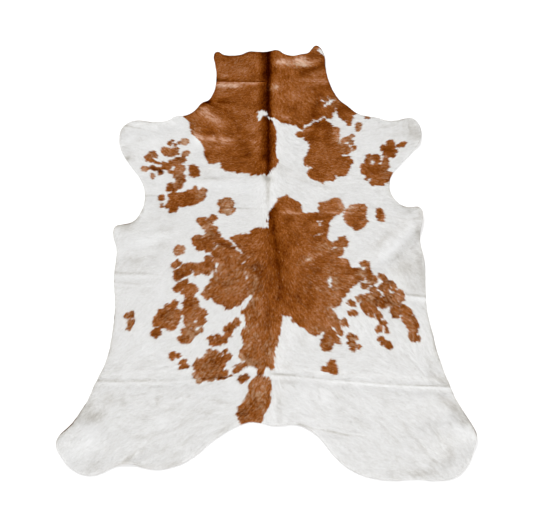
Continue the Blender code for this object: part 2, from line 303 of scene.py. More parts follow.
# The folds' lines as painted shade in the line and a painted highlight on its right-hand side as it runs.
# x and y of the start, x and y of the end, half width, all in millimetres; amount of shade, of highlight
LINES = [
    # neck and shoulders
    (-290, 948, -20, 946, 4, 1.0, 0.7), (-290, 956, -170, 954, 7, 0.5, 0.0),
    (-15, 342, 4, 326, 8, 0.8, 0.0), (-145, 153, -95, 152, 4, 0.6, 0.1),
    (-100, 152, -10, 150, 3.5, 0.25, 0.1), (-245, 158, -160, 157, 5, 0.6, 0.2),
    (-780, 655, -690, 632, 6, 0.7, 0.3), (-700, 635, -580, 603, 5, 0.35, 0.25),
    (-640, 225, -560, 222, 4.5, 0.6, 0.1), (775, 690, 780, 600, 4, 0.3, 0.0),
    # belly
    (-780, -205, -600, -208, 9, 0.55, 0.25), (-620, -208, -540, -212, 7, 0.25, 0.1),
    (-770, -250, -640, -262, 5, 0.3, 0.2), (-760, -285, -660, -285, 4.5, 0.2, 0.1),
    (680, -318, 795, -332, 5, 0.6, 0.8),
    # hind fold
    (-870, -742, -790, -744, 7, 1.0, 0.25), (-800, -744, -670, -748, 6.5, 0.75, 0.2),
    (-620, -745, -520, -745, 6.5, 0.8, 0.25), (-690, -747, -600, -745, 5, 0.4, 0.15),
    (-530, -745, -420, -742, 5, 0.3, 0.1), (-830, -715, -750, -738, 5, 0.4, 0.0),
    (-340, -738, -200, -730, 4.5, 0.6, 0.2), (-170, -722, -90, -722, 4, 0.5, 0.2),
    (30, -714, 130, -720, 6.5, 0.95, 0.2), (120, -721, 300, -740, 4.5, 0.55, 0.3),
    (290, -740, 420, -750, 4, 0.4, 1.1), (410, -750, 600, -764, 4, 0.55, 1.4),
    (590, -763, 720, -769, 4, 0.6, 0.9), (700, -768, 790, -770, 4.5, 0.95, 1.1),
    (780, -770, 890, -771, 5, 0.6, 0.8), (840, -766, 890, -768, 5, 0.6, 0.0),
    # rump
    (150, -944, 205, -962, 5.5, 1.0, 0.0), (290, -975, 195, -962, 4, 0.55, 0.4),
    (365, -993, 280, -974, 5, 1.05, 0.4), (445, -999, 350, -991, 4, 0.35, 0.55),
]
HIGHLIGHT_ASIDE = 2  # half widths from a line to the middle of its painted highlight
LINE_TAPER = 0.02  # a line on the coat fades out over this length, past each end

# How the coat grows: x, y in millimetres, heading in degrees. 0 is towards the tail, 90 right, -90 left
GROWTH = [
    # down the back
    (0, 1150, 0), (0, 1000, 0), (0, 850, 0), (0, 700, 0), (0, 550, 0), (0, 400, 0), (0, 280, 0),
    (0, 160, 0), (20, 40, 0), (40, -80, 0), (50, -200, 2), (50, -320, 4), (10, -440, -10), (0, -560, -6),
    (0, -680, -20), (-40, -800, -30), (-60, -900, -35),
    # right side of the neck, shoulder and front leg
    (110, 1070, 20), (240, 1070, 50), (110, 920, 25), (250, 930, 60), (120, 800, 32), (260, 800, 60),
    (420, 760, 80), (120, 660, 60), (280, 660, 85), (530, 670, 90), (700, 660, 100), (110, 540, 55),
    (220, 540, 85), (330, 540, 95), (530, 540, 100), (720, 550, 105), (110, 420, 48), (210, 420, 80),
    (320, 420, 82), (500, 400, 80), (100, 300, 52), (210, 300, 67), (310, 300, 73), (420, 300, 79),
    (550, 300, 65),
    # right flank
    (100, 180, 65), (210, 180, 78), (380, 180, 75), (620, 180, 70), (100, 60, 45), (200, 60, 75),
    (350, 50, 75), (520, 60, 78), (700, 60, 70), (100, -50, 16), (200, -50, 62), (350, -50, 78),
    (550, -50, 60), (700, -50, 45), (100, -160, 12), (200, -160, 56), (300, -160, 75), (450, -160, 80),
    (700, -160, 35), (100, -260, 20), (200, -260, 40), (300, -260, 46), (420, -260, 66), (690, -260, 42),
    (100, -370, 18), (200, -370, 34), (300, -370, 50), (450, -400, 45), (700, -400, 40),
    # right hip, hind leg and foot
    (100, -470, 14), (190, -470, 40), (290, -470, 52), (480, -480, 36), (700, -480, 38), (90, -570, 42),
    (190, -570, 48), (480, -570, 38), (570, -570, 50), (660, -570, 45), (760, -570, 24), (90, -670, 74),
    (190, -670, 73), (380, -670, 84), (470, -670, 82), (560, -670, 70), (660, -670, 60), (750, -670, 42),
    (90, -860, 78), (180, -850, 62), (280, -850, 58), (370, -850, 66), (550, -850, 66), (640, -850, 68),
    (740, -850, 58), (830, -850, 48), (270, -950, 70), (360, -950, 70), (450, -950, 61), (550, -950, 54),
    (730, -950, 50), (820, -950, 46), (360, -1030, 68), (450, -1030, 65), (540, -1030, 53),
    (630, -1030, 48), (720, -1030, 49), (810, -1030, 44), (920, -1030, 25), (440, -1120, 67),
    (530, -1120, 68), (620, -1120, 74), (710, -1120, 66), (800, -1120, 58),
    # left side of the neck, shoulder and front leg
    (-230, 1070, -62), (-120, 1070, -45), (-220, 930, -72), (-110, 930, -48), (-280, 820, -95),
    (-200, 800, -100), (-100, 800, -60), (-330, 670, -126), (-220, 670, -117), (-110, 670, -90),
    (-500, 700, -110), (-760, 600, -100), (-650, 540, -114), (-450, 540, -105), (-330, 540, -103),
    (-220, 540, -104), (-110, 540, -95), (-450, 420, -95), (-330, 420, -100), (-210, 420, -108),
    (-110, 420, -98), (-500, 300, -85), (-320, 300, -92), (-210, 300, -86), (-110, 300, -90),
    # left flank
    (-500, 180, -75), (-300, 180, -82), (-110, 180, -85), (-640, 60, -67), (-540, 60, -72),
    (-440, 60, -72), (-210, 60, -79), (-110, 60, -79), (-740, -50, -45), (-640, -50, -70),
    (-530, -50, -70), (-350, -50, -65), (-100, -50, -66), (-700, -160, -42), (-600, -160, -59),
    (-500, -160, -53), (-350, -160, -45), (-200, -160, -40), (-100, -160, -45), (-690, -260, -70),
    (-590, -260, -67), (-490, -260, -57), (-350, -260, -55), (-200, -260, -55), (-100, -260, -52),
    (-680, -370, -20), (-580, -370, -56), (-400, -370, -50), (-200, -370, -53), (-90, -370, -30),
    # left hip, hind leg and foot
    (-670, -470, -16), (-580, -470, -37), (-400, -470, -40), (-220, -470, -45), (-100, -470, -32),
    (-670, -570, -24), (-570, -570, -51), (-480, -570, -44), (-250, -570, -40), (-100, -570, -21),
    (-660, -670, -66), (-560, -670, -74), (-470, -670, -67), (-280, -670, -54), (-100, -670, -40),
    (-750, -860, -48), (-650, -860, -54), (-550, -860, -77), (-460, -860, -76), (-370, -860, -60),
    (-280, -860, -69), (-180, -860, -76), (-820, -950, -48), (-730, -950, -46), (-640, -950, -66),
    (-550, -950, -70), (-460, -950, -65), (-370, -950, -58), (-270, -950, -54), (-910, -1030, -38),
    (-810, -1030, -45), (-720, -1030, -45), (-630, -1030, -56), (-540, -1030, -64), (-450, -1030, -59),
    (-360, -1030, -55), (-800, -1130, -62),
]
GROWTH_REACH = 0.055  # how far such a guide reaches
FAR_GUIDE = 1e-4  # how much a guide counts as far as twice its reach
GROWTH_WANDER = 0.12  # how much the heading wanders besides, in radians
WANDER_SPACING = 0.11  # between one bend and the next

# The large patches of brown, each by the corners of its edge, x and y in millimetres.
PATCHES = {
    "neck and left shoulder": [
        (493, 737), (477, 723), (465, 693), (463, 673), (452, 653), (440, 670), (433, 697), (420, 687),
        (407, 710), (387, 727), (388, 757), (380, 770), (373, 757), (363, 727), (357, 701), (330, 710),
        (313, 727), (307, 713), (280, 692), (257, 693), (247, 677), (213, 667), (210, 643), (187, 630),
        (170, 643), (163, 667), (140, 660), (123, 670), (97, 675), (73, 687), (53, 703), (37, 713),
        (13, 717), (4, 712), (13, 703), (37, 673), (47, 647), (50, 613), (51, 567), (47, 533), (49, 467),
        (53, 450), (63, 437), (57, 416), (41, 397), (17, 373), (5, 341), (0, 347), (-20, 355), (-67, 352),
        (-87, 347), (-97, 367), (-113, 360), (-153, 359), (-180, 367), (-213, 370), (-233, 390),
        (-241, 407), (-237, 427), (-260, 423), (-293, 417), (-313, 427), (-325, 453), (-339, 480),
        (-330, 520), (-360, 570), (-403, 597), (-413, 633), (-420, 673), (-430, 695), (-455, 718),
        (-520, 860), (-450, 1230), (450, 1230), (600, 860), (510, 742),
    ],
    "right shoulder": [
        (309, 704), (334, 689), (356, 657), (366, 646), (388, 650), (397, 621), (390, 589), (395, 564),
        (377, 546), (406, 543), (434, 536), (452, 507), (451, 486), (427, 475), (391, 475), (399, 464),
        (441, 461), (466, 439), (449, 414), (434, 379), (420, 350), (391, 344), (359, 350), (361, 329),
        (349, 313), (313, 318), (295, 301), (263, 318), (227, 329), (215, 357), (231, 386), (245, 396),
        (206, 407), (196, 436), (204, 461), (227, 493), (231, 536), (202, 568), (195, 614), (213, 643),
        (241, 650), (256, 671), (291, 686),
    ],
    "back, left half": [
        (30, 60), (0, 43), (-14, 40), (-30, 39), (-57, 46), (-75, 29), (-86, 2), (-100, 8), (-136, 7),
        (-170, -3), (-182, -20), (-165, -40), (-200, -34), (-215, -28), (-232, -12), (-250, -40),
        (-245, -85), (-268, -112), (-262, -140), (-232, -150), (-235, -172), (-252, -188), (-240, -222),
        (-270, -245), (-290, -255), (-285, -268), (-266, -278), (-285, -285), (-306, -297), (-318, -313),
        (-302, -335), (-286, -347), (-270, -335), (-260, -342), (-248, -360), (-230, -370), (-210, -370),
        (-200, -385), (-182, -400), (-165, -390), (-150, -378), (-130, -387), (-116, -380), (-104, -350),
        (-90, -320), (-65, -312), (-70, -335), (-85, -358), (60, -380), (100, 0),
    ],
    "back, right half": [
        (7, 43), (6, 100), (19, 146), (36, 160), (42, 170), (60, 212), (100, 230), (129, 204), (157, 193),
        (182, 164), (179, 132), (200, 121), (236, 129), (257, 132), (279, 118), (271, 139), (266, 161),
        (275, 186), (307, 194), (336, 207), (361, 218), (382, 207), (386, 186), (400, 164), (396, 139),
        (371, 118), (350, 114), (329, 82), (318, 64), (314, 29), (307, 7), (307, -14), (314, -32),
        (343, -39), (361, -29), (364, -11), (393, -4), (414, -29), (407, -64), (382, -57), (386, -89),
        (382, -107), (371, -125), (400, -125), (414, -157), (421, -179), (460, -183), (485, -197),
        (480, -225), (460, -248), (437, -268), (414, -279), (405, -300), (382, -330), (357, -329),
        (367, -352), (350, -373), (333, -390), (314, -378), (306, -392), (323, -420), (350, -447),
        (345, -468), (330, -480), (300, -490), (281, -515), (265, -508), (250, -527), (200, -512),
        (185, -488), (154, -473), (123, -450), (108, -427), (75, -421), (40, -400), (-20, -300), (-20, 0),
    ],
    "right of the back": [
        (400, 128), (412, 150), (436, 168), (462, 174), (488, 182), (508, 176), (518, 154), (519, 138),
        (510, 124), (513, 108), (517, 84), (514, 60), (494, 52), (474, 34), (456, 27), (438, 40),
        (420, 62), (398, 82), (393, 106),
    ],
    "rump": [
        (-85, -352), (-98, -388), (-122, -404), (-102, -418), (-100, -427), (-100, -473), (-121, -523),
        (-104, -554), (-108, -581), (-127, -608), (-127, -642), (-104, -654), (-138, -673), (-162, -692),
        (-158, -708), (-140, -712), (-115, -688), (-92, -677), (-62, -672), (-44, -678), (-38, -722),
        (-15, -708), (-8, -681), (4, -665), (19, -692), (31, -692), (37, -658), (37, -596), (54, -546),
        (65, -504), (73, -450), (75, -421), (90, -380), (0, -330),
    ],
    "tail": [
        (-46, -724), (8, -726), (16, -742), (21, -781), (17, -835), (6, -878), (-12, -896), (-15, -919),
        (-25, -935), (-30, -960), (-118, -965), (-120, -942), (-138, -900), (-127, -862), (-97, -831),
        (-81, -796), (-80, -765), (-66, -742),
    ],
}

# Brown spots, as ovals that run into each other.
# x, y, half size along, half size across if it isn't round, all in millimetres; turn in degrees if turned
SPOTS = {
    "by the right shoulder": [
        (177, 598, 21), (188, 650, 18), (469, 513, 16),
    ],
    "right front leg": [
        (670, 543, 22), (634, 511, 22), (663, 507, 32, 30), (666, 471, 26, 16), (691, 496, 12),
        (727, 536, 26, 13, 25), (706, 525, 10), (584, 450, 24), (634, 436, 18, 22), (627, 407, 22, 30),
        (534, 386, 38, 40), (541, 343, 16), (524, 328, 10), (577, 386, 34, 36), (613, 371, 30),
        (577, 343, 30, 20), (620, 336, 32, 26), (652, 346, 22), (563, 307, 22, 20), (599, 300, 24, 18),
        (631, 314, 16, 14),
    ],
    "left front leg": [
        (-469, 545, 10), (-493, 530, 12), (-520, 539, 14, 12), (-508, 559, 10), (-516, 486, 35, 27),
        (-545, 501, 18), (-487, 500, 18), (-610, 475, 21, 18), (-590, 463, 14), (-630, 453, 20),
        (-613, 437, 12), (-585, 422, 20, 7, -25), (-597, 390, 25, 10, -15), (-570, 387, 12),
        (-560, 363, 14, 16), (-530, 407, 28, 20), (-490, 427, 34, 20), (-460, 440, 30, 20),
        (-443, 445, 14), (-520, 393, 12), (-543, 420, 14), (-462, 390, 26, 20), (-468, 367, 28, 20),
        (-443, 383, 16), (-463, 342, 28, 19), (-443, 340, 14), (-451, 315, 25, 18), (-437, 313, 10),
        (-460, 287, 24, 20), (-500, 280, 22, 24), (-510, 260, 18, 16), (-482, 260, 16, 18),
        (-487, 227, 24, 20), (-440, 220, 40, 24, 20), (-393, 233, 45, 30, 20), (-373, 257, 20),
        (-342, 231, 26, 23), (-343, 209, 19, 12), (-387, 193, 50, 22, 10), (-480, 183, 36, 26),
        (-510, 167, 14), (-440, 183, 30, 20), (-480, 150, 24, 26), (-487, 137, 12), (-545, 213, 18, 20),
        (-541, 167, 11), (-383, 373, 26, 34), (-393, 393, 18), (-367, 357, 16), (-387, 350, 18),
    ],
    "left flank": [
        (-329, 82, 24), (-277, 96, 22, 20), (-299, 71, 22), (-313, 54, 18), (-291, 36, 22, 20),
        (-266, 25, 18, 22), (-252, 0, 24, 18), (-360, -23, 16, 20), (-356, -43, 18), (-327, -43, 30),
        (-331, -64, 26, 22), (-291, -21, 34), (-291, -64, 28), (-263, -14, 30), (-234, -29, 24, 22),
        (-452, -157, 30, 20, 40), (-191, -50, 34, 14), (-249, -100, 24), (-220, -86, 26), (-291, -129, 20),
        (-284, -157, 26), (-313, -171, 22, 28), (-349, -173, 26, 22), (-384, -164, 26, 20),
        (-413, -179, 20, 26), (-399, -200, 30, 22), (-434, -211, 28, 26), (-441, -232, 18, 16),
        (-449, -200, 14), (-343, -195, 20, 18), (-350, -212, 9), (-299, -193, 28, 20), (-298, -202, 12),
        (-266, -175, 14, 18), (-413, -261, 30, 28), (-434, -286, 26, 20),
    ],
    "left of the rump": [
        (-372, -293, 34), (-377, -323, 26, 23), (-377, -364, 34, 28), (-345, -357, 18, 20),
        (-377, -400, 32, 28), (-370, -429, 34, 26), (-320, -411, 30, 24), (-299, -411, 14),
        (-316, -450, 22, 24), (-341, -429, 22), (-388, -496, 22), (-370, -514, 34, 26),
        (-345, -504, 22, 16), (-396, -542, 24, 21), (-409, -541, 13), (-379, -541, 22, 20),
        (-313, -495, 12), (-674, -429, 14), (-652, -421, 14, 20), (-659, -464, 18, 22),
        (-664, -489, 12, 14), (-450, -372, 16, 26, -15), (-474, -392, 28), (-508, -416, 24, 25),
        (-484, -429, 36, 34), (-522, -450, 26, 29), (-536, -473, 12, 15), (-491, -460, 34, 29),
        (-462, -480, 26, 22), (-438, -455, 18, 16), (-427, -411, 18), (-449, -429, 30),
        (-524, -505, 22, 20), (-540, -517, 18, 13), (-528, -526, 11), (-443, -626, 15, 18),
        (-416, -625, 12, 14), (-391, -664, 20, 21), (-402, -673, 11), (-372, -679, 6, 10),
    ],
    "left of the tail": [
        (-145, -457, 20), (-166, -479, 18), (-181, -493, 24, 22), (-181, -521, 18, 16),
        (-218, -544, 32, 21), (-263, -543, 18, 14), (-249, -564, 20, 14), (-234, -557, 22),
        (-256, -607, 28, 24), (-263, -639, 40, 28), (-315, -651, 22, 20), (-319, -671, 24, 21),
        (-291, -679, 45, 36), (-227, -657, 34), (-195, -612, 10, 20, -15), (-174, -629, 12),
        (-191, -636, 24, 14), (-326, -721, 19, 20), (-316, -746, 12, 10), (-270, -732, 30, 16),
        (-284, -714, 45, 20), (-241, -707, 45, 24), (-184, -711, 32, 17), (-209, -729, 26, 10),
        (-104, -734, 28, 19, 25),
    ],
    "right of the back": [
        (585, 118, 19, 36), (591, 95, 18, 21),
    ],
    "right flank": [
        (483, -157, 20, 16), (503, -175, 13, 26), (500, -213, 22, 26), (513, -233, 26, 28),
        (537, -240, 14, 20), (517, -257, 20, 12), (443, -220, 30), (482, -268, 26, 17, -60),
        (577, -227, 24, 16, -45), (580, -280, 28, 26), (603, -263, 25, 18), (627, -280, 12, 20),
        (593, -313, 24, 16), (653, -303, 13, 11), (663, -327, 18, 23), (633, -333, 26, 20),
        (613, -353, 24), (633, -367, 20, 14), (548, -318, 14, 12), (532, -302, 30, 17, -45),
        (492, -328, 15, 17), (496, -352, 32, 25), (484, -378, 24, 25), (486, -404, 19, 15),
        (527, -360, 34, 26), (527, -387, 20), (512, -413, 14, 20), (570, -360, 26, 30), (587, -340, 20),
        (567, -380, 18, 12), (543, -423, 22), (530, -403, 16), (563, -463, 18, 19), (539, -500, 15, 12),
        (577, -497, 10, 18), (580, -508, 7), (547, -543, 16, 14), (557, -563, 18, 14), (573, -567, 20, 18),
        (583, -585, 13, 12),
    ],
    "right flank, the long streak": [
        (627, -400, 26), (627, -428, 20, 13), (653, -400, 30, 20), (684, -411, 22, 31),
        (681, -438, 27, 31), (700, -460, 30, 34), (720, -467, 16, 26), (693, -480, 18, 24),
        (706, -513, 22, 20), (704, -533, 20, 21), (723, -540, 14, 16), (704, -551, 7),
    ],
    "right of the rump": [
        (374, -460, 18, 19), (388, -473, 10), (350, -503, 22, 10, -55), (338, -468, 18),
        (415, -362, 22, 15, -45), (419, -411, 22, 18), (400, -533, 18), (427, -539, 10),
        (407, -567, 20, 22), (410, -590, 14, 12), (439, -585, 11, 13), (300, -519, 32, 22),
        (285, -558, 26), (285, -588, 24, 16), (268, -572, 12, 13), (331, -542, 26, 18, -60),
        (348, -564, 10), (307, -664, 18, 20), (307, -690, 25, 21), (282, -689, 22, 16), (317, -706, 11),
    ],
    "between the patches": [
        (-420, -237, 34, 8, 22), (-259, -59, 10, 14), (-252, -200, 8, 24), (-172, -388, 34, 12),
        (-120, -368, 30, 10, 38), (-338, -372, 9, 22), (-332, -472, 22, 8), (470, -235, 18, 8),
        (543, -336, 12, 8), (318, -408, 34, 6, -52), (315, -558, 10, 22), (538, 434, 16, 8),
        (630, 478, 9, 16), (455, 546, 14, 18), (428, 688, 45, 6, -42), (-341, -6, 16, 8),
        (-414, -302, 10, 12), (-262, -236, 18, 10, 35), (-286, -281, 12, 10), (-113, -406, 10, 12),
        (-343, -488, 12, 7), (-221, -618, 14, 10), (303, -365, 10, 9), (648, -307, 18, 11),
        (656, -356, 10), (662, -378, 12, 8), (463, -327, 14, 8), (336, -500, 12, 9, -40),
        (547, -485, 20, 8), (588, -250, 14), (535, -326, 20, 12), (593, 433, 22, 12), (586, 324, 16, 10),
    ],
}

# Pale brown spots, with the same columns.
PALE_SPOTS = {
    "right shoulder": [
        (427, 568, 30, 18, 25), (463, 589, 12), (499, 645, 30, 16, 75), (549, 707, 14, 10),
        (546, 454, 16, 24),
    ],
    "left front leg": [
        (-441, 555, 22), (-475, 479, 10), (-430, 479, 28, 16, 40), (-647, 387, 22, 14),
        (-600, 340, 11, 17), (-508, 365, 12, 10), (-333, 251, 21, 16),
    ],
    "back": [
        (-211, 182, 42, 32), (-200, 142, 43, 22), (-228, 136, 12), (-196, 122, 8),
    ],
    "flanks": [
        (-440, -82, 28, 27), (-370, -464, 30, 20), (450, -340, 16, 14),
    ],
}

# White specks inside the brown, with the same columns.
SPECKS = [
    (315, 817, 11, 8), (328, 794, 15, 11, 30), (343, 838, 9, 8), (351, 800, 8, 9), (364, 822, 12, 9),
    (340, 812, 6), (300, 1160, 16, 13), (315, 1146, 15, 18), (326, 1125, 9, 12), (-57, -179, 8, 6),
    (314, -257, 11, 34), (613, -305, 10, 8), (-250, -164, 11), (-252, -193, 8), (-24, 738, 27, 19),
    (-36, 716, 15, 32, -8), (-2, 730, 10, 18, 20), (-30, 744, 22, 16), (-330, -495, 12, 8, 20),
    (-259, -588, 16, 9), (-172, -703, 12, 14), (-86, -742, 10), (-125, -648, 10), (-433, -172, 6, 16, -40),
    (378, -118, 12, 7), (270, -514, 7, 12), (-346, -454, 8), (-357, -677, 9, 10), (-100, -205, 4, 6),
    (-97, -232, 4, 8), (-96, -278, 6, 10), (-519, -484, 9, 6, 20), (-244, -157, 6, 4), (-126, -147, 4),
    (-94, -116, 5), (-102, -225, 4, 5), (284, 78, 4), (-44, 745, 13, 14),
]

# White slits inside the brown. x and y of the start, x and y of the end, half width, all in millimetres
SLITS = [
    (205, 650, 235, 668, 8), (235, 668, 262, 685, 5), (262, 685, 302, 700, 4), (-285, -107, -249, -64, 4),
    (-440, -250, -399, -225, 4), (-184, -34, -166, -41, 4), (-166, -42, -153, -58, 6),
    (-153, -58, -149, -72, 4), (-149, -74, -132, -84, 6), (-130, -87, -118, -100, 4),
    (-162, -52, -174, -58, 3), (-129, -155, -111, -149, 5), (-111, -149, -98, -138, 4),
    (243, -4, 265, 6, 4), (265, 6, 290, 15, 5), (-185, -405, -118, -372, 10), (-118, -372, -78, -325, 10),
    (266, 74, 276, 58, 4), (329, -78, 354, -66, 5), (-215, 148, -178, 146, 4), (-404, -425, -397, -490, 4),
    (316, -489, 345, -525, 4), (690, -288, 704, -345, 5), (456, -247, 503, -257, 6),
    (430, -385, 398, -392, 4),
]

# The dark line of the back, as stretches.
# x and y of the start, x and y of the end, half width, all in millimetres; depth at the start and the end
BACK_LINE = [
    (8, 1160, 8, 960, 19, 1.22, 1.2), (-10, 1160, -10, 960, 26, 0.72, 0.7),
    (8, 960, 8, 800, 17, 1.16, 1.06), (6, 800, 6, 715, 22, 0.95, 0.85), (-6, 960, -8, 720, 24, 0.66, 0.64),
    (-18, 850, -18, 740, 20, 0.5, 0.45), (9, 715, 10, 450, 16, 0.84, 0.82),
    (4, 715, 6, 450, 32, 0.6, 0.54), (10, 450, 8, 350, 18, 0.85, 0.7), (30, 700, 32, 460, 18, 0.2, 0.2),
    (18, 150, 28, 60, 28, 0.42, 0.38), (28, 60, 40, 0, 28, 0.38, 0.38), (40, 0, 52, -100, 25, 0.4, 0.42),
    (52, -100, 62, -200, 25, 0.42, 0.4), (62, -200, 68, -270, 15, 0.46, 0.36),
    (68, -270, 62, -350, 18, 0.34, 0.12), (44, 0, 56, -260, 42, 0.24, 0.24),
]

# Lighter and darker places of the brown, all soft: its own tone, and painted highlights of its sheen.
# how much lighter; x, y, half sizes and turn as for the spots
TONES_AND_SHEEN = [
    (0.46, -215, 920, 85, 17), (0.26, -90, 930, 70, 9), (0.2, -245, 990, 40, 14, 5),
    (0.12, -285, 1030, 20, 40), (0.09, -120, 1050, 90, 70), (0.07, -220, 875, 80, 25),
    (-0.18, -225, 805, 50, 10, -5), (-0.16, -280, 778, 70, 10, -28), (0.04, -60, 800, 50),
    (0.22, -340, 750, 30, 22, -30), (0.28, -300, 705, 80, 28, -25), (-0.14, -330, 610, 50, 12, -5),
    (0.26, -280, 568, 110, 17, -3), (0.28, -375, 585, 28, 20), (0.1, -70, 660, 45, 60),
    (0.18, -68, 555, 24, 12), (-0.14, -150, 620, 16, 35, -20), (-0.12, -115, 535, 40, 35),
    (-0.14, -100, 480, 30), (-0.16, -330, 465, 30, 20), (0.08, -250, 520, 50, 18),
    (0.1, -270, 435, 40, 13), (-0.02, -150, 400, 80, 30), (0.4, 85, 1085, 34, 22), (0.1, 55, 1130, 30),
    (0.57, 197, 1098, 34, 26), (0.3, 160, 1072, 36, 22), (0.34, 215, 1058, 28, 10),
    (0.26, 260, 1085, 50, 10, 10), (-0.18, 250, 1125, 30, 18, 30), (-0.12, 312, 1080, 18, 40),
    (-0.18, 260, 1030, 60, 13, 20), (0.12, 290, 995, 60, 16, 20), (0.13, 280, 955, 80, 10, -3),
    (0.06, 330, 935, 40, 8), (-0.14, 290, 900, 60, 18), (0.18, 50, 912, 22, 20), (0.07, 120, 930, 60, 45),
    (0.1, 150, 860, 80, 60), (-0.1, 40, 1040, 18, 80), (-0.14, 280, 800, 30, 28),
    (-0.14, 270, 730, 40, 28), (-0.1, 300, 860, 50, 28), (0.16, 80, 715, 50, 18, -15),
    (0.1, 160, 685, 50, 14, -10), (-0.08, 400, 760, 30), (-0.04, 150, 790, 50, 30),
    (-0.14, 300, 660, 70, 28), (-0.16, 240, 570, 40, 28), (0.2, 225, 625, 30, 11, 15),
    (0.16, 385, 620, 25), (-0.1, 330, 590, 40), (0.04, 330, 450, 100, 70), (0.3, 125, 132, 70, 10, -2),
    (-0.04, 100, 190, 50, 30), (-0.12, 50, 140, 20, 18), (0.2, 350, 128, 60, 9, -2),
    (0.05, 340, 170, 50, 20), (0.3, 430, 156, 38, 22, 20), (0.18, 460, 128, 60, 6),
    (-0.02, 120, 50, 80, 60), (-0.1, 240, 90, 40, 18), (0.38, 210, -132, 38, 7, 28),
    (0.22, 222, -103, 24, 8), (0.16, 300, -80, 30, 9), (0.16, 380, -145, 28, 18),
    (-0.2, 440, -165, 30, 11), (-0.07, 280, -130, 50, 18, 20), (0.06, 140, -180, 28, 120, -10),
    (-0.07, 170, -330, 80, 60), (0.1, 240, -400, 35, 50), (-0.12, 215, -365, 20, 40),
    (0.12, 280, -470, 60, 18, -20), (-0.08, 350, -440, 30, 14, -30), (-0.18, -60, -170, 45, 28),
    (0.06, -105, -80, 40, 24), (0.06, -30, 0, 30), (-0.16, -200, -55, 40, 13, -20),
    (-0.08, -330, -30, 30, 28), (-0.06, -187, -180, 34, 28), (0.12, -100, -220, 16, 70, -15),
    (-0.1, -200, -262, 30, 16), (-0.08, -270, -120, 40, 18), (-0.08, -280, 0, 40, 26),
    (0.1, -295, 45, 28, 18), (-0.12, -440, -210, 30, 22), (-0.08, -430, -270, 30, 20),
    (-0.1, -385, -350, 35, 40), (-0.06, -480, -430, 40, 50), (-0.12, -530, -515, 30, 20),
    (-0.14, -400, -545, 20), (-0.06, -160, -490, 30, 20), (-0.12, -225, -545, 30, 18),
    (-0.2, 6, -460, 22, 90), (-0.04, -46, -470, 26, 60), (0.16, -115, -630, 12, 28),
    (-0.05, 0, -580, 50, 40), (0.1, -35, -765, 50, 28), (-0.03, -20, -850, 40, 28),
    (-0.12, -100, -890, 36, 28), (-0.24, -30, -715, 12, 10), (-0.08, -240, -660, 35, 50),
    (0.1, -330, -730, 26, 18), (-0.16, -200, -730, 40, 8), (-0.1, 560, -350, 60, 30), (0.1, 660, -300, 30),
    (0.14, 630, -345, 24, 18), (0.06, 690, -450, 40, 50), (-0.06, 500, -230, 30, 24),
    (-0.1, 600, -255, 30, 20), (-0.1, -490, 480, 40, 30), (-0.04, -460, 350, 30, 50),
    (-0.12, -400, 215, 60, 24, 15), (-0.06, 580, 370, 50, 40), (-0.1, 660, 500, 30, 28),
    (-0.5, -318, 808, 18, 12, 30), (-0.25, -345, 790, 20, 7, 35), (0.06, 285, 1012, 60, 12, 25),
    (0.08, 280, 962, 70, 4, -3), (0.14, 290, 946, 60, 3, -2), (0.14, 300, 932, 50, 3, -2),
    (-0.12, -225, 830, 40, 10, 5), (-0.1, -125, 600, 30, 18, -30), (-0.06, -185, 700, 50, 20, -20),
    (-0.1, 60, 1130, 20), (-0.06, 110, 980, 60, 20, 20), (0.04, 200, 900, 60, 18),
    (-0.08, -150, 1090, 50, 14, 20), (-0.05, -100, 1020, 30), (-0.08, -280, 1100, 30, 20),
    (-0.04, 30, 120, 16, 30), (-0.03, 140, 0, 60, 50), (-0.04, 150, -100, 50, 60),
    (-0.1, 35, 50, 12, 60, -10), (0.03, -26, -805, 60, 50), (0.04, -40, -880, 80, 60),
    (-0.03, -210, 165, 60), (0.12, 375, 590, 22, 45), (-0.3, -580, 380, 35, 12, -25),
    (-0.2, -555, 372, 16, 10), (0.14, -440, 555, 26), (-0.16, -70, 1005, 30, 45),
    (-0.13, -58, 780, 26, 34), (-0.14, -290, 903, 26, 14), (0.12, -213, 553, 50, 30),
    (0.13, 118, 714, 50, 16), (-0.05, 230, 1000, 50, 30), (0.26, 387, 182, 20, 24),
    (0.13, 295, -45, 40, 24), (0.13, 345, -112, 40, 24), (0.1, 285, -100, 30, 24),
    (0.14, 316, -404, 24, 32), (0.12, 468, -222, 30, 20), (0.13, 243, -498, 40, 18), (0.13, 410, -240, 30),
    (0.1, 305, -455, 34, 28), (0.11, 335, -345, 30, 32), (0.12, 359, -485, 24, 22), (0.1, -305, 5, 34, 28),
    (-0.12, -37, -211, 40, 36), (-0.13, 17, -269, 34, 40), (-0.13, 105, -342, 40, 46),
    (-0.13, 159, 911, 36, 30), (0.14, -367, 616, 30, 34), (-0.13, 92, -87, 30, 55),
    (0.16, 292, 1165, 24, 20), (0.03, -420, -450, 220, 240), (-0.03, 600, 420, 140, 160),
    (0.12, -460, 380, 36, 28), (0.04, 0, -560, 80, 120),
]

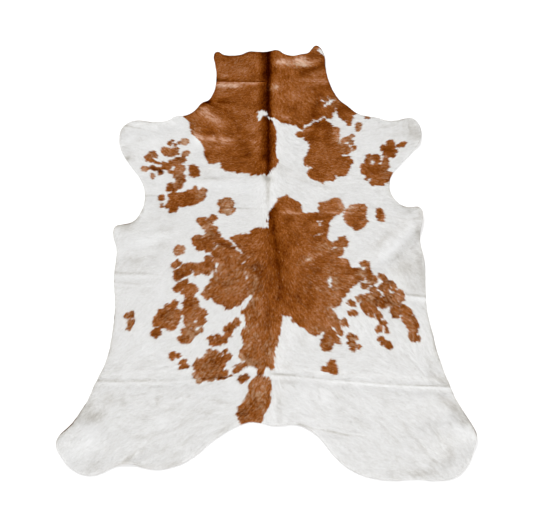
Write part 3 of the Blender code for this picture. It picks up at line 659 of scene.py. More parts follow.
# Places where white hairs are mixed into the brown, with the same columns; the first is their share.
FLECKED = [
    (0.17, -110, -220, 50, 100), (0.11, -200, -200, 70, 110), (0.12, -300, -230, 60, 80),
    (0.16, -50, -240, 30, 80), (0.24, -70, -340, 30, 40), (0.2, -80, -450, 40, 80),
    (0.18, -90, -580, 40, 80), (0.6, -110, -645, 22, 32), (0.04, 0, -500, 60, 120),
    (0.34, -40, -830, 90, 100), (0.28, -375, -470, 40, 60), (0.2, -370, -530, 40, 30),
    (0.16, -480, -430, 50, 60), (0.2, -270, -640, 70, 60), (0.5, -330, -740, 30, 24),
    (0.3, -300, -750, 60, 14), (0.44, -210, 185, 50, 26), (0.52, -205, 135, 50, 24), (0.14, -500, 470, 80),
    (0.36, -300, 50, 40, 30), (0.4, -235, -60, 30, 16), (0.06, 250, -250, 100),
    (0.34, 210, -128, 50, 14, 28), (0.36, 340, -70, 50, 24), (0.2, 330, -260, 30, 50),
    (0.14, 600, -330, 100, 80), (0.34, 500, -340, 30, 20), (0.16, 690, -470, 40, 80),
    (0.26, 165, 1075, 80, 30), (0.75, 215, 1055, 40, 14), (0.06, 85, 1090, 36, 16),
    (0.28, 50, 910, 26, 22), (0.26, 340, 810, 50, 30), (0.08, -340, 730, 50, 30, -25),
    (0.08, -220, 915, 80, 12), (0.08, -240, 990, 40, 10), (0.08, -160, 1070, 50, 40),
    (0.24, -400, 640, 30, 60), (0.34, 430, 560, 40, 30, 25), (0.3, 440, 500, 40, 20),
    (0.7, 500, 645, 16, 34, -15), (0.42, 432, 158, 42, 24), (0.28, -438, -79, 34),
    (0.34, -640, 387, 30, 18), (0.9, -440, 555, 26), (0.4, -430, 480, 34, 20, 40),
    (0.34, -680, -450, 30, 60), (0.06, -200, -300, 220, 260), (0.2, 375, 590, 22, 45),
    (0.06, 450, -300, 260), (0.36, 316, -404, 24, 32), (0.3, 359, -485, 24), (0.5, 468, -222, 28, 20),
    (0.24, 522, -259, 24, 20), (0.36, 410, -560, 32, 44), (0.3, 243, -498, 40, 18), (0.36, 588, -365, 24),
    (0.16, 290, -50, 40, 24), (0.3, 387, 182, 20, 24), (0.34, 285, -570, 32, 36),
    (0.34, 370, -440, 26, 24), (0.4, 487, -163, 26, 22), (0.3, 577, -235, 28, 20, -45),
    (0.36, 702, -530, 24, 34), (0.7, -55, -668, 34, 26), (0.3, 20, -590, 34, 60), (0.34, -305, 5, 34, 30),
    (0.44, -335, -495, 26, 22), (0.44, -605, 478, 34, 26), (0.4, -466, 325, 40, 44),
    (0.26, -250, -715, 70, 24), (0.34, -330, 238, 34), (0.36, 582, -399, 24, 18),
    (0.32, -441, -184, 32, 22), (0.32, -256, -222, 26), (0.36, 510, 120, 20, 44),
    (0.32, -345, -350, 24, 28), (0.26, 636, 376, 30, 50), (0.36, 548, 462, 26, 24),
    (0.3, 410, -525, 24, 20),
]

# Painted light and shade of the white coat's folds, swells and edges.
# Its grey and bright places, with the same columns; the first is how much brighter.
WHITE_LIGHT_AND_SHADE = [
    (-0.6, -715, 40, 40, 28, -20), (-0.35, -790, 10, 16, 40), (-0.35, -690, 75, 40, 14, -30),
    (-0.38, -520, 35, 45, 18, 10), (-0.25, -580, 90, 40, 20, 10), (-0.2, -490, 110, 30),
    (0.45, -620, -40, 110, 22, 16), (-0.38, -525, -60, 34, 22, 10), (-0.55, -655, -135, 45, 22),
    (-0.3, -560, -125, 40, 18, 5), (-0.25, -700, -175, 60, 20), (-0.2, -600, -180, 50, 12),
    (-0.5, -770, -180, 16, 24), (-0.2, -680, -260, 60, 10, -5), (-0.16, -650, -290, 50, 8, -8),
    (0.15, -515, -300, 30, 60), (0.2, -600, -520, 50, 40), (0.25, -550, -600, 50, 30),
    (-0.45, -760, -600, 22, 40), (-0.25, -560, -665, 50, 20, 5), (-0.2, -720, -680, 40, 30),
    (-0.35, -790, -690, 16, 30), (-0.35, -550, -770, 40, 10), (-0.35, -785, -770, 30, 16, 30),
    (-0.75, -792, -915, 44, 28, 15), (-0.55, -815, -860, 16, 45, -25), (-0.4, -730, -835, 40, 34),
    (-0.45, -664, -835, 14, 34, 10), (-0.35, -870, -930, 30, 12, 50), (-0.15, -750, -900, 30, 20),
    (0.62, -800, -1015, 38, 70, -15), (0.25, -870, -1080, 50, 30, 30), (-0.5, -975, -1035, 14, 26),
    (-0.35, -770, -1130, 50, 26, 25), (-0.15, -700, -1040, 30, 60, -25), (-0.32, -645, -972, 36, 10, -30),
    (-0.48, -580, -1000, 40, 10), (-0.42, -500, -985, 36, 10, 18), (-0.8, -618, -1098, 44, 13, 38),
    (-0.5, -665, -1118, 34, 10, 20), (-0.5, -560, -1128, 36, 12, -15), (-0.5, -430, -1122, 55, 14, 8),
    (-0.42, -415, -1082, 28, 14, 20), (-0.2, -480, -1060, 60, 12, 15), (-0.38, -500, -838, 14, 32),
    (-0.48, -445, -876, 34, 13, 10), (-0.38, -275, -893, 30, 12), (-0.38, -225, -838, 34, 13, -10),
    (-0.5, -185, -965, 50, 18, 35), (-0.3, -560, -912, 30, 12, 15), (0.38, -480, -930, 28),
    (0.15, -600, -870, 30), (-0.15, -400, -950, 50, 12, 25), (-0.18, -330, -1000, 40, 10, 28),
    (0.35, -165, -765, 34, 22), (0.55, -70, -690, 40, 14), (-0.1, -350, -800, 40, 30),
    (0.75, 632, -80, 125, 18, 44), (-0.5, 595, -20, 75, 22, 44), (-0.45, 660, -110, 30, 24, 40),
    (-0.28, 725, -50, 40, 50), (-0.9, 770, 20, 18, 40), (-0.45, 765, 90, 40, 10, 5),
    (-0.5, 790, 120, 14, 30), (-0.25, 720, 130, 40, 12), (-0.55, 772, -205, 20, 80, 5),
    (-0.45, 735, -285, 50, 45), (-0.68, 700, -180, 50, 60), (-0.5, 760, -120, 24, 50),
    (-0.25, 640, -190, 40, 30), (0.7, 760, -345, 45, 10, -8), (-0.4, 730, -322, 40, 6),
    (-0.28, 170, -560, 20, 36), (-0.25, 90, -680, 30, 18), (0.18, 460, -520, 40),
    (-0.5, 790, -725, 40, 26, -35), (-0.6, 830, -750, 30, 14, -30), (-0.2, 770, -640, 30, 40),
    (-0.5, 95, -750, 40, 16), (-0.45, 58, -860, 14, 70), (-0.35, 330, -818, 22, 20),
    (-0.3, 235, -858, 46, 9, -60), (-0.15, 400, -870, 60, 12, -45), (-0.25, 420, -930, 50, 12, -35),
    (0.2, 270, -820, 30), (0.2, 200, -850, 100, 80), (-0.8, 860, -870, 60, 22, -52),
    (-0.35, 820, -840, 50, 16, -50), (-0.5, 900, -930, 24, 20), (0.4, 905, -985, 50, 20, -20),
    (-0.5, 825, -1070, 22, 36, 10), (-0.36, 737, -1118, 24), (-0.4, 800, -1112, 30, 20),
    (-0.55, 690, -1156, 90, 18), (-0.2, 760, -970, 100, 30, -50), (-0.3, 560, -990, 60, 10, -45),
    (-0.3, 680, -1020, 90, 10, -52), (-0.25, 620, -935, 60, 10, -48), (-0.4, 560, -1175, 30, 12, -20),
    (-0.2, 400, -1050, 50, 10, -10), (-0.12, 350, -900, 50, 40), (0.2, 480, -865, 30, 24),
    (-0.5, -790, 630, 26, 40, -30), (-0.9, -745, 448, 18, 14), (-0.3, -760, 520, 20, 14),
    (0.3, -470, 660, 40, 30), (0.95, -370, 555, 40, 30, -20), (-0.2, -375, 470, 50, 16, -10),
    (-0.25, -325, 370, 36), (-0.6, -285, 326, 70, 10), (0.4, -300, 285, 120, 18),
    (0.3, -100, 270, 100, 30), (-0.35, -60, 340, 50, 12), (-0.95, 8, 250, 12, 80), (-1.0, 8, 325, 24, 20),
    (-0.55, -650, 210, 20, 24), (-0.8, -645, 140, 12), (-0.8, -660, 98, 12), (0.15, -600, 625, 60, 24),
    (-0.3, 80, 390, 60, 30, -20), (-0.3, 180, 330, 60, 20, -15), (-0.5, 300, 280, 60, 10, -12),
    (0.15, 40, 200, 30, 40), (0.15, 160, 560, 40), (-0.35, 640, 650, 80, 10, 8),
    (-0.22, 700, 600, 70, 12, 5), (-0.6, 790, 640, 36, 60), (-0.6, 815, 585, 30, 40),
    (-0.08, 720, 600, 60, 50), (-0.5, 650, 255, 22, 50, 25), (-0.15, 700, 190, 40, 12, -25),
    (-0.15, 700, 440, 20, 30), (-0.15, 680, 60, 50), (0.4, -735, 570, 40, 16, 40),
    (-0.25, -690, 560, 30, 14, 30), (0.3, -620, 545, 40, 16, 30), (-0.35, -770, 660, 30, 20),
    (-0.25, -640, 660, 20, 12), (-0.2, 745, 640, 8, 60), (0.1, -450, 250, 100, 60),
    (0.06, 120, 480, 60, 100), (0.08, -330, -120, 80, 200), (-0.3, -805, -900, 50),
    (-0.08, -560, -900, 100, 40), (-0.08, -320, -900, 120, 50), (0.12, -560, 520, 240, 180),
    (-0.6, -590, 380, 30, 8, -20), (0.1, 690, 210, 60, 50), (0.12, -170, 270, 140, 60),
    (-0.45, -730, 462, 30),
]


# The chart and its noises.


def chart_axes():
    x = np.arange(-CHART_HALF[0], CHART_HALF[0] + CHART_STEP / 2, CHART_STEP)
    y = np.arange(-CHART_HALF[1], CHART_HALF[1] + CHART_STEP / 2, CHART_STEP)
    return x, y


ACROSS, ALONG = chart_axes()
CHART_X, CHART_Y = np.meshgrid(ACROSS, ALONG)
EVERYWHERE = slice(None)


def blank_chart(value=0.0):
    return np.full_like(CHART_X, value)


def ease(share):
    """From nothing to one in a smooth curve."""
    share = np.clip(share, 0, 1)
    return share * share * (3 - 2 * share)


def fade(share):
    """From one to nothing in a smooth curve, as the share goes from nothing to one."""
    return 0.5 + 0.5 * np.cos(np.pi * np.clip(share, 0, 1))


def between(grid, column, row, curved=False):
    """The grid's value between its points, on straight or on smooth curved lines from one to the next."""
    left, low = column.astype(int), row.astype(int)
    shares = column - left, row - low
    right_share, high_share = map(ease, shares) if curved else shares
    below = grid[low, left] * (1 - right_share) + grid[low, left + 1] * right_share
    above = grid[low + 1, left] * (1 - right_share) + grid[low + 1, left + 1] * right_share
    return below * (1 - high_share) + above * high_share


def read(chart, x, y):
    """The chart's value at places between its points."""
    column = np.clip((x - ACROSS[0]) / CHART_STEP, 0, len(ACROSS) - LAST_CELL)
    row = np.clip((y - ALONG[0]) / CHART_STEP, 0, len(ALONG) - LAST_CELL)
    return between(chart, column, row)


def window(x, y, reach):
    """The part of the chart round a place, as its rows and its columns. x and y are lowest and highest."""
    part = []
    for (low, high), axis in ((y, ALONG), (x, ACROSS)):
        first = int((low - reach - axis[0]) / CHART_STEP)
        last = int((high + reach - axis[0]) / CHART_STEP)
        part.append(slice(max(0, first), last + 2))
    return tuple(part)


def coloured(x, y):
    """Where the chart holds the colours of a place."""
    return x * PHOTO_SCALE, y + PHOTO_SHIFT


def cells(spacing, spare):
    """How many rows and columns of cells cover the chart, with some to spare."""
    return int(2 * CHART_HALF[1] / spacing) + spare, int(2 * CHART_HALF[0] / spacing) + spare


def soft_noise(spacing, number):
    """Smooth noise on the chart, its features about the spacing across, with a spread of one."""
    knots = np.random.default_rng(SEED + number).standard_normal(cells(spacing, 3))
    noise = between(knots, (CHART_X - ACROSS[0]) / spacing, (CHART_Y - ALONG[0]) / spacing, curved=True)
    return (noise - noise.mean()) / noise.std()


def nearest_middles(x, y, spacing, number):
    """The middle of the cell that each place is in, with a number of the cell's own, and how far it is.

    The cells are rounded, as tufts of hair lie side by side. Middles and distances count in spacings.
    """
    draws = np.random.default_rng(SEED + number)
    middle_x, middle_y, own = draws.uniform(0, 1, (3, *cells(spacing, 5)))
    column, row = (x - ACROSS[0]) / spacing + 2, (y - ALONG[0]) / spacing + 2
    nearest, found = np.full_like(x, np.inf), np.zeros((3, *x.shape))
    for step_y in (-1, 0, 1):
        for step_x in (-1, 0, 1):
            cell = row.astype(int) + step_y, column.astype(int) + step_x
            place_x, place_y = cell[1] + middle_x[cell], cell[0] + middle_y[cell]
            away = np.hypot(column - place_x, row - place_y)
            closer = away < nearest
            nearest[closer] = away[closer]
            for kept, value in zip(found, (place_x, place_y, own[cell])):
                kept[closer] = value[closer]
    return found, nearest


def in_metres(lengths):
    return [length / MILLIMETRES for length in lengths]


def growth():
    """The direction of the hair, as the x and y of a unit vector, on the chart."""
    along_x, along_y = blank_chart(), blank_chart()
    for *place, heading in GROWTH:
        guide_x, guide_y = in_metres(place)
        away = (CHART_X - guide_x) ** 2 + (CHART_Y - guide_y) ** 2
        weight = np.exp(-away / (2 * GROWTH_REACH**2)) + FAR_GUIDE * np.exp(-away / (8 * GROWTH_REACH**2))
        along_x += weight * math.sin(math.radians(heading))
        along_y -= weight * math.cos(math.radians(heading))
    heading = np.arctan2(along_y, along_x) + GROWTH_WANDER * soft_noise(WANDER_SPACING, DRAWS["growth"])
    return np.cos(heading), np.sin(heading)


GROWTH_X, GROWTH_Y = growth()


def combed(noise, steps):
    """The noise drawn out along the hair, again with a spread of one."""
    total = noise.copy()
    for way in (CHART_STEP, -CHART_STEP):
        x, y = CHART_X.copy(), CHART_Y.copy()
        for _ in range(steps):
            x, y = x + way * read(GROWTH_X, x, y), y + way * read(GROWTH_Y, x, y)
            total += read(noise, x, y)
    return (total - total.mean()) / total.std()


def coat_noises():
    """Each noise of the coat by its name."""
    noises = {}
    for name, (spacing, number, steps) in NOISES.items():
        drawn = soft_noise(spacing, number)
        noises[name] = combed(drawn, steps) if steps else drawn
    return noises


def weighed(amounts, charts, start=0):
    """The sum of charts, each by its amount, on top of a start."""
    return sum((amount * charts[name] for name, amount in amounts.items()), start)


# The forms of the hide.


def from_line(x, y, start, end):
    """How far places are to the side of a line, how far past its nearer end, and their share along it."""
    start, run = np.array(start), np.array(end) - np.array(start)
    length = math.hypot(*run)
    along = ((x - start[0]) * run[0] + (y - start[1]) * run[1]) / length
    aside = np.abs((x - start[0]) * run[1] - (y - start[1]) * run[0]) / length
    return aside, np.maximum(np.maximum(-along, along - length), 0), np.clip(along / length, 0, 1)


def hide_lift():
    """How far the hide stands off the floor, on the chart."""
    lift = blank_chart()
    for _, start, end, width, height in TROUGHS:
        aside, past, _ = from_line(CHART_X, CHART_Y, start, end)
        across = aside / width
        inner = np.sin(np.pi / 2 * np.minimum(across, 1)) ** CREASED
        outer = fade((across - 1) / (TROUGH_END - 1))
        lift += PRESSED * height * np.where(across < 1, inner, outer) * fade(past / (END_TAPER * width))
    for _, start, end, width, height in SWELLS + CREASES:
        aside, past, _ = from_line(CHART_X, CHART_Y, start, end)
        lift += height * fade(aside / width) * fade(past / (END_TAPER * width))
    for spacing, number, lowest, highest, height in UNEVEN:
        lift += height * (np.clip(soft_noise(spacing, number), lowest, highest) - lowest)
    return lift


def fold_lines():
    """The painted shade in the folds' lines and the painted highlight beside them, on the chart, and where
    the hair parts at them.
    """
    fold_shade, fold_highlight, parted = blank_chart(), blank_chart(), blank_chart()
    for *lengths, shade_amount, highlight_amount in LINES:
        *ends, half_width = in_metres(lengths)
        start, end = ends[:2], ends[2:]
        aside, past, _ = from_line(CHART_X, CHART_Y, start, end)
        run_x, run_y = end[0] - start[0], end[1] - start[1]
        side = aside * np.sign((CHART_X - start[0]) * run_y - (CHART_Y - start[1]) * run_x)
        seen = fade(past / LINE_TAPER)
        fold_shade = np.maximum(fold_shade, shade_amount * seen * np.exp(-((side / half_width) ** 2)))
        fold_highlight = np.maximum(fold_highlight, highlight_amount * seen * np.exp(-((side / half_width - HIGHLIGHT_ASIDE) ** 2)))
        parted = np.maximum(parted, min(shade_amount, 1) * seen * np.exp(-((side / PARTING) ** 2)))
    return fold_shade, fold_highlight, parted


def node_edge(node):
    """The edge of the hide's top, as its points in order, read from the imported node."""
    hide = bmesh.new()
    hide.from_mesh(node.data)
    bmesh.ops.remove_doubles(hide, verts=hide.verts, dist=WELD)
    bmesh.ops.recalc_face_normals(hide, faces=hide.faces[:])
    after = {}
    for edge in hide.edges:
        tops = [face for face in edge.link_faces if face.normal.z > LEVEL]
        walls = [face for face in edge.link_faces if abs(face.normal.z) < LEVEL]
        if len(tops) == 1 and len(walls) == 1:
            for loop in tops[0].loops:
                if loop.edge == edge:
                    after[loop.vert.index] = loop.link_loop_next.vert.index
    places = {vert.index: (vert.co.x, vert.co.y) for vert in hide.verts}
    hide.free()
    first = min(after)
    chain = [first]
    while after[chain[-1]] != first:
        chain.append(after[chain[-1]])
    if len(chain) != len(after):
        raise RuntimeError(f"the hide's edge is broken: {len(chain)} of {len(after)} points")
    return np.array([places[index] for index in chain])


def spread_evenly(ring, spacing):
    """The closed ring's line, with points at even distances."""
    closed = np.vstack([ring, ring[:1]])
    reached = np.concatenate([[0], np.cumsum(np.hypot(*np.diff(closed, axis=0).T))])
    count = int(reached[-1] / spacing)
    stops = np.arange(count) * reached[-1] / count
    return np.column_stack([np.interp(stops, reached, closed[:, axis]) for axis in (0, 1)])


def outward(ring):
    """Unit vectors that point out of a ring that runs anticlockwise."""
    run = np.roll(ring, -1, axis=0) - np.roll(ring, 1, axis=0)
    run /= np.hypot(*run.T)[:, None]
    return np.column_stack([run[:, 1], -run[:, 0]])


def smoothed(ring, points):
    """The ring with each point drawn to its neighbours, over that many points."""
    reach = int(points * SMOOTHING_REACH)
    shifts = np.arange(-reach, reach + 1)
    weights = np.exp(-0.5 * (shifts / points) ** 2)
    weights /= weights.sum()
    return sum(weight * np.roll(ring, shift, axis=0) for weight, shift in zip(weights, shifts))


def cut_edge(node):
    """The hide's cut edge: the node's edge, evenly pointed, and a little uneven as a knife leaves it."""
    ring = smoothed(spread_evenly(node_edge(node), RIM_SPACING), RIM_SOFTNESS)
    turns = np.cross(ring, np.roll(ring, -1, axis=0)).sum()
    ring = ring if turns > 0 else ring[::-1]
    draws = np.random.default_rng(SEED + DRAWS["nicks"])
    uneven = np.zeros(len(ring))
    for strength, points in NICKS:
        uneven += strength * smoothed(draws.standard_normal((len(ring), 1)), points)[:, 0]
    uneven = uneven / uneven.std() * RAGGED / 2 - RAGGED / 2
    return ring + outward(ring) * uneven[:, None]


def inside(ring):
    """Which points of the chart a closed line goes round."""
    held = np.zeros_like(CHART_X, dtype=bool)
    following = np.roll(ring, -1, axis=0)
    for row, y in enumerate(ALONG):
        crossed = (ring[:, 1] > y) != (following[:, 1] > y)
        low, high = ring[crossed], following[crossed]
        places = np.sort(low[:, 0] + (y - low[:, 1]) / (high[:, 1] - low[:, 1]) * (high[:, 0] - low[:, 0]))
        held[row] = np.searchsorted(places, ACROSS) % 2 == 1
    return held


def edge_distance(ring):
    """How far inside the ring each point of the chart is; negative outside."""
    distance = blank_chart(FAR)
    for start, end in zip(ring, np.roll(ring, -1, axis=0)):
        place = window(sorted((start[0], end[0])), sorted((start[1], end[1])), FAR)
        aside, past, _ = from_line(CHART_X[place], CHART_Y[place], start, end)
        distance[place] = np.minimum(distance[place], np.hypot(aside, past))
    return np.where(inside(ring), distance, -distance)


# The colours of the coat.


def all_rows(groups):
    return [row for rows in groups.values() for row in rows]


def oval(x, y, half_along, half_across=None, turn=0):
    """A row's oval in metres, its turn in radians. A round one has one half size in its row."""
    return *in_metres((x, y, half_along, half_across or half_along)), math.radians(turn)


def from_oval(place, row):
    """Where places of the chart are along and across an oval, in metres and as shares of its half sizes."""
    centre_x, centre_y, half_along, half_across, turn = oval(*row)
    x, y = CHART_X[place] - centre_x, CHART_Y[place] - centre_y
    along = x * math.cos(turn) + y * math.sin(turn)
    across = y * math.cos(turn) - x * math.sin(turn)
    return along, across, along / half_along, across / half_across


def run_together(first, second, softness):
    """The nearer of two forms, with a fillet where they meet."""
    near = np.clip(softness - np.abs(first - second), 0, softness)
    return np.minimum(first, second) - near * near / (4 * softness)


def add_ovals(field, rows):
    """Lowers the field to the distance outside each oval, where that is less. It is negative inside one."""
    for row in rows:
        x, y, half_along, half_across, _ = oval(*row)
        place = window((x, x), (y, y), FAR + max(half_along, half_across))
        along, across, *shares = from_oval(place, row)
        away = np.hypot(along, across) + WELD
        outside = away - away / (np.hypot(*shares) + WELD)
        field[place] = run_together(field[place], outside, FILLET)


def soft_places(rows):
    """The sum of soft ovals, each as strong as its first number says."""
    total = blank_chart()
    for amount, *row in rows:
        _, _, along, across = from_oval(EVERYWHERE, row)
        total += amount * np.exp(-(along**2 + across**2))
    return total


def patch_distance():
    """How far outside the brown each point of the chart is; negative in the brown."""
    field = blank_chart(FAR)
    spacing, softness = PATCH_RIM
    for corners in PATCHES.values():
        ring = smoothed(spread_evenly(np.array(corners) / MILLIMETRES, spacing), softness)
        field = run_together(field, -edge_distance(ring), FILLET)
    add_ovals(field, all_rows(SPOTS) + all_rows(PALE_SPOTS))
    white = blank_chart(FAR)
    add_ovals(white, SPECKS)
    for row in SLITS:
        *ends, half_width = in_metres(row)
        aside, past, _ = from_line(CHART_X, CHART_Y, ends[:2], ends[2:])
        white = np.minimum(white, np.hypot(aside, past) - half_width)
    return np.maximum(field, -white)


def scalloped(field):
    """The same brown with an edge of small round tufts, each one reaching its outline or nearly."""
    draws = np.random.default_rng(SEED + DRAWS["tufts"])
    far_x, far_y = ACROSS[-1], ALONG[-1]
    x, y = np.meshgrid(np.arange(-far_x, far_x, TUFT_STEP), np.arange(-far_y, far_y, TUFT_STEP))
    x = x.ravel() + draws.uniform(-0.5, 0.5, x.size) * TUFT_STEP
    y = y.ravel() + draws.uniform(-0.5, 0.5, y.size) * TUFT_STEP
    deep = -read(field, x, y)
    chosen = (deep > TUFT_DEPTHS[0]) & (deep < TUFT_DEPTHS[1])
    radius = deep + draws.uniform(*TUFT_REACHES, x.size)
    rounded = field + TUFT_NOTCH
    for centre_x, centre_y, reach in zip(x[chosen], y[chosen], radius[chosen]):
        place = window((centre_x, centre_x), (centre_y, centre_y), reach + TUFT_WINDOW)
        away = np.hypot(CHART_X[place] - centre_x, CHART_Y[place] - centre_y)
        rounded[place] = np.minimum(rounded[place], away - reach)
    return rounded


def back_line_depth():
    """How dark the line of the back is, on the chart."""
    depth = blank_chart()
    for *lengths, first, last in BACK_LINE:
        *ends, half_width = in_metres(lengths)
        aside, past, share = from_line(CHART_X, CHART_Y, ends[:2], ends[2:])
        section = np.exp(-((aside / half_width) ** 2))
        depth = np.maximum(depth, (first + (last - first) * share) * section * fade(past / LINE_TAPER))
    return depth


def brown_edge(noises):
    """How far outside the brown each point of the chart is, with the lobes, tufts and fringe of its edge."""
    size, depth = LOBES
    _, away = nearest_middles(CHART_X, CHART_Y, size, DRAWS["lobes"])
    lobes = away - away.mean()
    return scalloped(patch_distance() - PATCH_GROWTH + depth * lobes) + weighed(PATCH_FRINGE, noises)


def pale_places():
    """How pale the brown is in the pale spots."""
    outside = blank_chart(FAR)
    add_ovals(outside, all_rows(PALE_SPOTS))
    return ease(0.5 - outside / PALE_EDGE)


def mixed_hair(pale, noises):
    """The share of white hairs in the brown."""
    average, varying = MOTTLED
    mottled = np.clip(average + varying * weighed(MOTTLING, noises), 0, MOST_MOTTLED)
    return mottled * np.maximum(soft_places(FLECKED), PALE_MIXED * pale)


def brown_grain(noises):
    """The grain of the brown, with fewer dabs at the neck and in the smooth strip by the back."""
    least, more = DABBED
    middle, width, smooth = SMOOTH_STRIP
    behind_neck = ease((DABBED_FROM - CHART_Y) / DABBED_OVER)
    beside_strip = ease(np.abs(CHART_X - middle) / width - smooth)
    dabs = (least + more * behind_neck * beside_strip) * noises["dabs"]
    return weighed(BROWN_GRAIN, {**noises, "dabs": dabs})


def coat_charts(edge):
    """Everything that the sheet and the hair read: forms, colours and the noises of the coat."""
    noises = coat_noises()
    rim = edge_distance(edge)
    fall_y, fall_x = np.gradient(rim, CHART_STEP)
    low = ease(TAIL_END[0] + TAIL_END[1] * fall_y)
    against = ease(AGAINST_EDGE + GROWTH_X * fall_x + GROWTH_Y * fall_y) * (1 - low)

    def by_the_edge(reach):
        return np.exp(-np.clip(rim, 0, FAR) / reach)

    fold_shade, fold_highlight, parted = fold_lines()
    shows = {
        "pale": pale_places(),
        "fold_shade": fold_shade,
        "fold_highlight": fold_highlight,
        # Painted shade along the edge: grey where the coat grows away from it and thins, and a dark line at
        # the rim.
        "rim_shade_and_thin_coat": against * by_the_edge(EDGE_SHADE),
        "dark_rim_line": (1 - low) * by_the_edge(EDGE_LINE),
    }
    # The brown's own lighter and darker places, with painted sheen highlights and their painted glints.
    tone_with_sheen = soft_places(TONES_AND_SHEEN)
    tone_with_sheen += GLINTING * np.maximum(tone_with_sheen, 0) * noises["glints"]
    streaked = STREAKED[0] + STREAKED[1] * ease((STREAKED_FROM - CHART_Y) / STREAKED_OVER)
    # The white's painted light and shade: from its table, its folds' lines and its edge.
    shade = weighed(WHITE_SHOWS, shows, soft_places(WHITE_LIGHT_AND_SHADE) + WHITE_START)
    bare = BARE_EDGE * (BARE_SHARES[0] + BARE_SHARES[1] * against) * (1 - low)
    return {
        "lift": hide_lift(),
        "edge": rim,
        "bare": bare * (1 + BARE_UNEVEN * noises["locks"]),
        "low": low,
        "hung": low * by_the_edge(HANGING),
        "out_x": -fall_x,
        "out_y": -fall_y,
        "parted": parted,
        "patch": brown_edge(noises),
        "tone": weighed(BROWN_SHOWS, shows, tone_with_sheen) + brown_grain(noises),
        "line": back_line_depth(),
        "shade": shade + streaked * weighed(WHITE_GRAIN, noises),
        "mixed": mixed_hair(shows["pale"], noises),
        "locks": noises["locks"],
        "fine": noises["fine"],
    }


# Materials. The sheet and the hair take their colour from the same attributes of the mesh.


def new_material(name, settings):
    material = bpy.data.materials.new(name)
    material.use_nodes = True
    tree = material.node_tree
    finish = tree.nodes["Principled BSDF"]
    for label, value in settings.items():
        finish.inputs[label].default_value = value
    return material, tree, finish


def add_node(tree, kind, settings, links):
    node = tree.nodes.new(kind)
    for label, value in settings.items():
        node.inputs[label].default_value = value
    for label, source in links.items():
        tree.links.new(source, node.inputs[label])
    return node


def attribute(tree, name):
    node = tree.nodes.new("ShaderNodeAttribute")
    node.attribute_name = name
    return node.outputs["Fac"]


def ranged(tree, value, low, high, to_low=0.0, to_high=1.0, smooth=True):
    settings = {"From Min": low, "From Max": high, "To Min": to_low, "To Max": to_high}
    node = add_node(tree, "ShaderNodeMapRange", settings, {"Value": value})
    node.interpolation_type = "SMOOTHSTEP" if smooth else "LINEAR"
    return node.outputs["Result"]


def combined(tree, operation, first, second):
    node = tree.nodes.new("ShaderNodeMath")
    node.operation = operation
    for socket, value in zip(node.inputs, (first, second)):
        if isinstance(value, (int, float)):
            socket.default_value = value
        else:
            tree.links.new(value, socket)
    return node.outputs["Value"]


def colours(tree, value, stops):
    """A ramp of colours. stops is place, (red, green, blue)."""
    node = add_node(tree, "ShaderNodeValToRGB", {}, {"Fac": value})
    ramp = node.color_ramp
    while len(ramp.elements) < len(stops):
        ramp.elements.new(0.5)
    for element, (place, colour) in zip(ramp.elements, stops):
        element.position = place
        element.color = (*colour, 1)
    return node.outputs["Color"]


def mixed(tree, share, first, second):
    node = tree.nodes.new("ShaderNodeMix")
    node.data_type = "RGBA"
    first_colour, second_colour = [socket for socket in node.inputs if socket.type == "RGBA"]
    tree.links.new(share, node.inputs["Factor"])
    tree.links.new(first, first_colour)
    tree.links.new(second, second_colour)
    return next(socket for socket in node.outputs if socket.type == "RGBA")


def blended(tree, share, first, second):
    """A mix that stays warm halfway, as where hair of two colours grows through each other."""

    def bent(colour, power):
        return add_node(tree, "ShaderNodeGamma", {"Gamma": power}, {"Color": colour}).outputs["Color"]

    return bent(mixed(tree, share, bent(first, 1 / WARMTH), bent(second, 1 / WARMTH)), WARMTH)


def noise(tree, scale, detail=2.0, roughness=0.5):
    """Noise on the object's own coordinates."""
    place = tree.nodes.new("ShaderNodeTexCoord").outputs["Object"]
    settings = {"Scale": scale, "Detail": detail, "Roughness": roughness}
    return add_node(tree, "ShaderNodeTexNoise", settings, {"Vector": place}).outputs["Fac"]


def bumped(tree, finish, height, distance, strength):
    node = add_node(tree, "ShaderNodeBump", {"Strength": strength, "Distance": distance}, {"Height": height})
    tree.links.new(node.outputs["Normal"], finish.inputs["Normal"])


def coat_colour(tree):
    """White hair and brown hair, each with its own range, parted at the edge of the patches."""
    speck = noise(tree, *SPECK_NOISE)

    def specked(name, amount):
        change = ranged(tree, speck, *SPECK_RANGE, -amount, amount, smooth=False)
        return combined(tree, "ADD", attribute(tree, name), change)

    tone = combined(tree, "ADD", specked("tone", BROWN_SPECK), BROWN_MIDDLE)
    tone = combined(tree, "SUBTRACT", tone, combined(tree, "MULTIPLY", attribute(tree, "line"), LINE_DARKENS))
    brown = mixed(tree, attribute(tree, "mixed"), colours(tree, tone, BROWNS), colours(tree, tone, PALES))
    shade = combined(tree, "MULTIPLY", specked("shade", WHITE_SPECK), SHADE_SCALE)
    white = colours(tree, combined(tree, "ADD", shade, WHITE_MIDDLE), WHITES)
    return blended(tree, ranged(tree, attribute(tree, "patch"), PATCH_BLEND, -PATCH_BLEND), white, brown)


def hair_material():
    settings = {"Roughness": 0.48, "IOR": 1.5, "Specular IOR Level": 0.0}
    material, tree, finish = new_material("short cow hair", settings)
    tree.links.new(coat_colour(tree), finish.inputs["Base Color"])
    return material


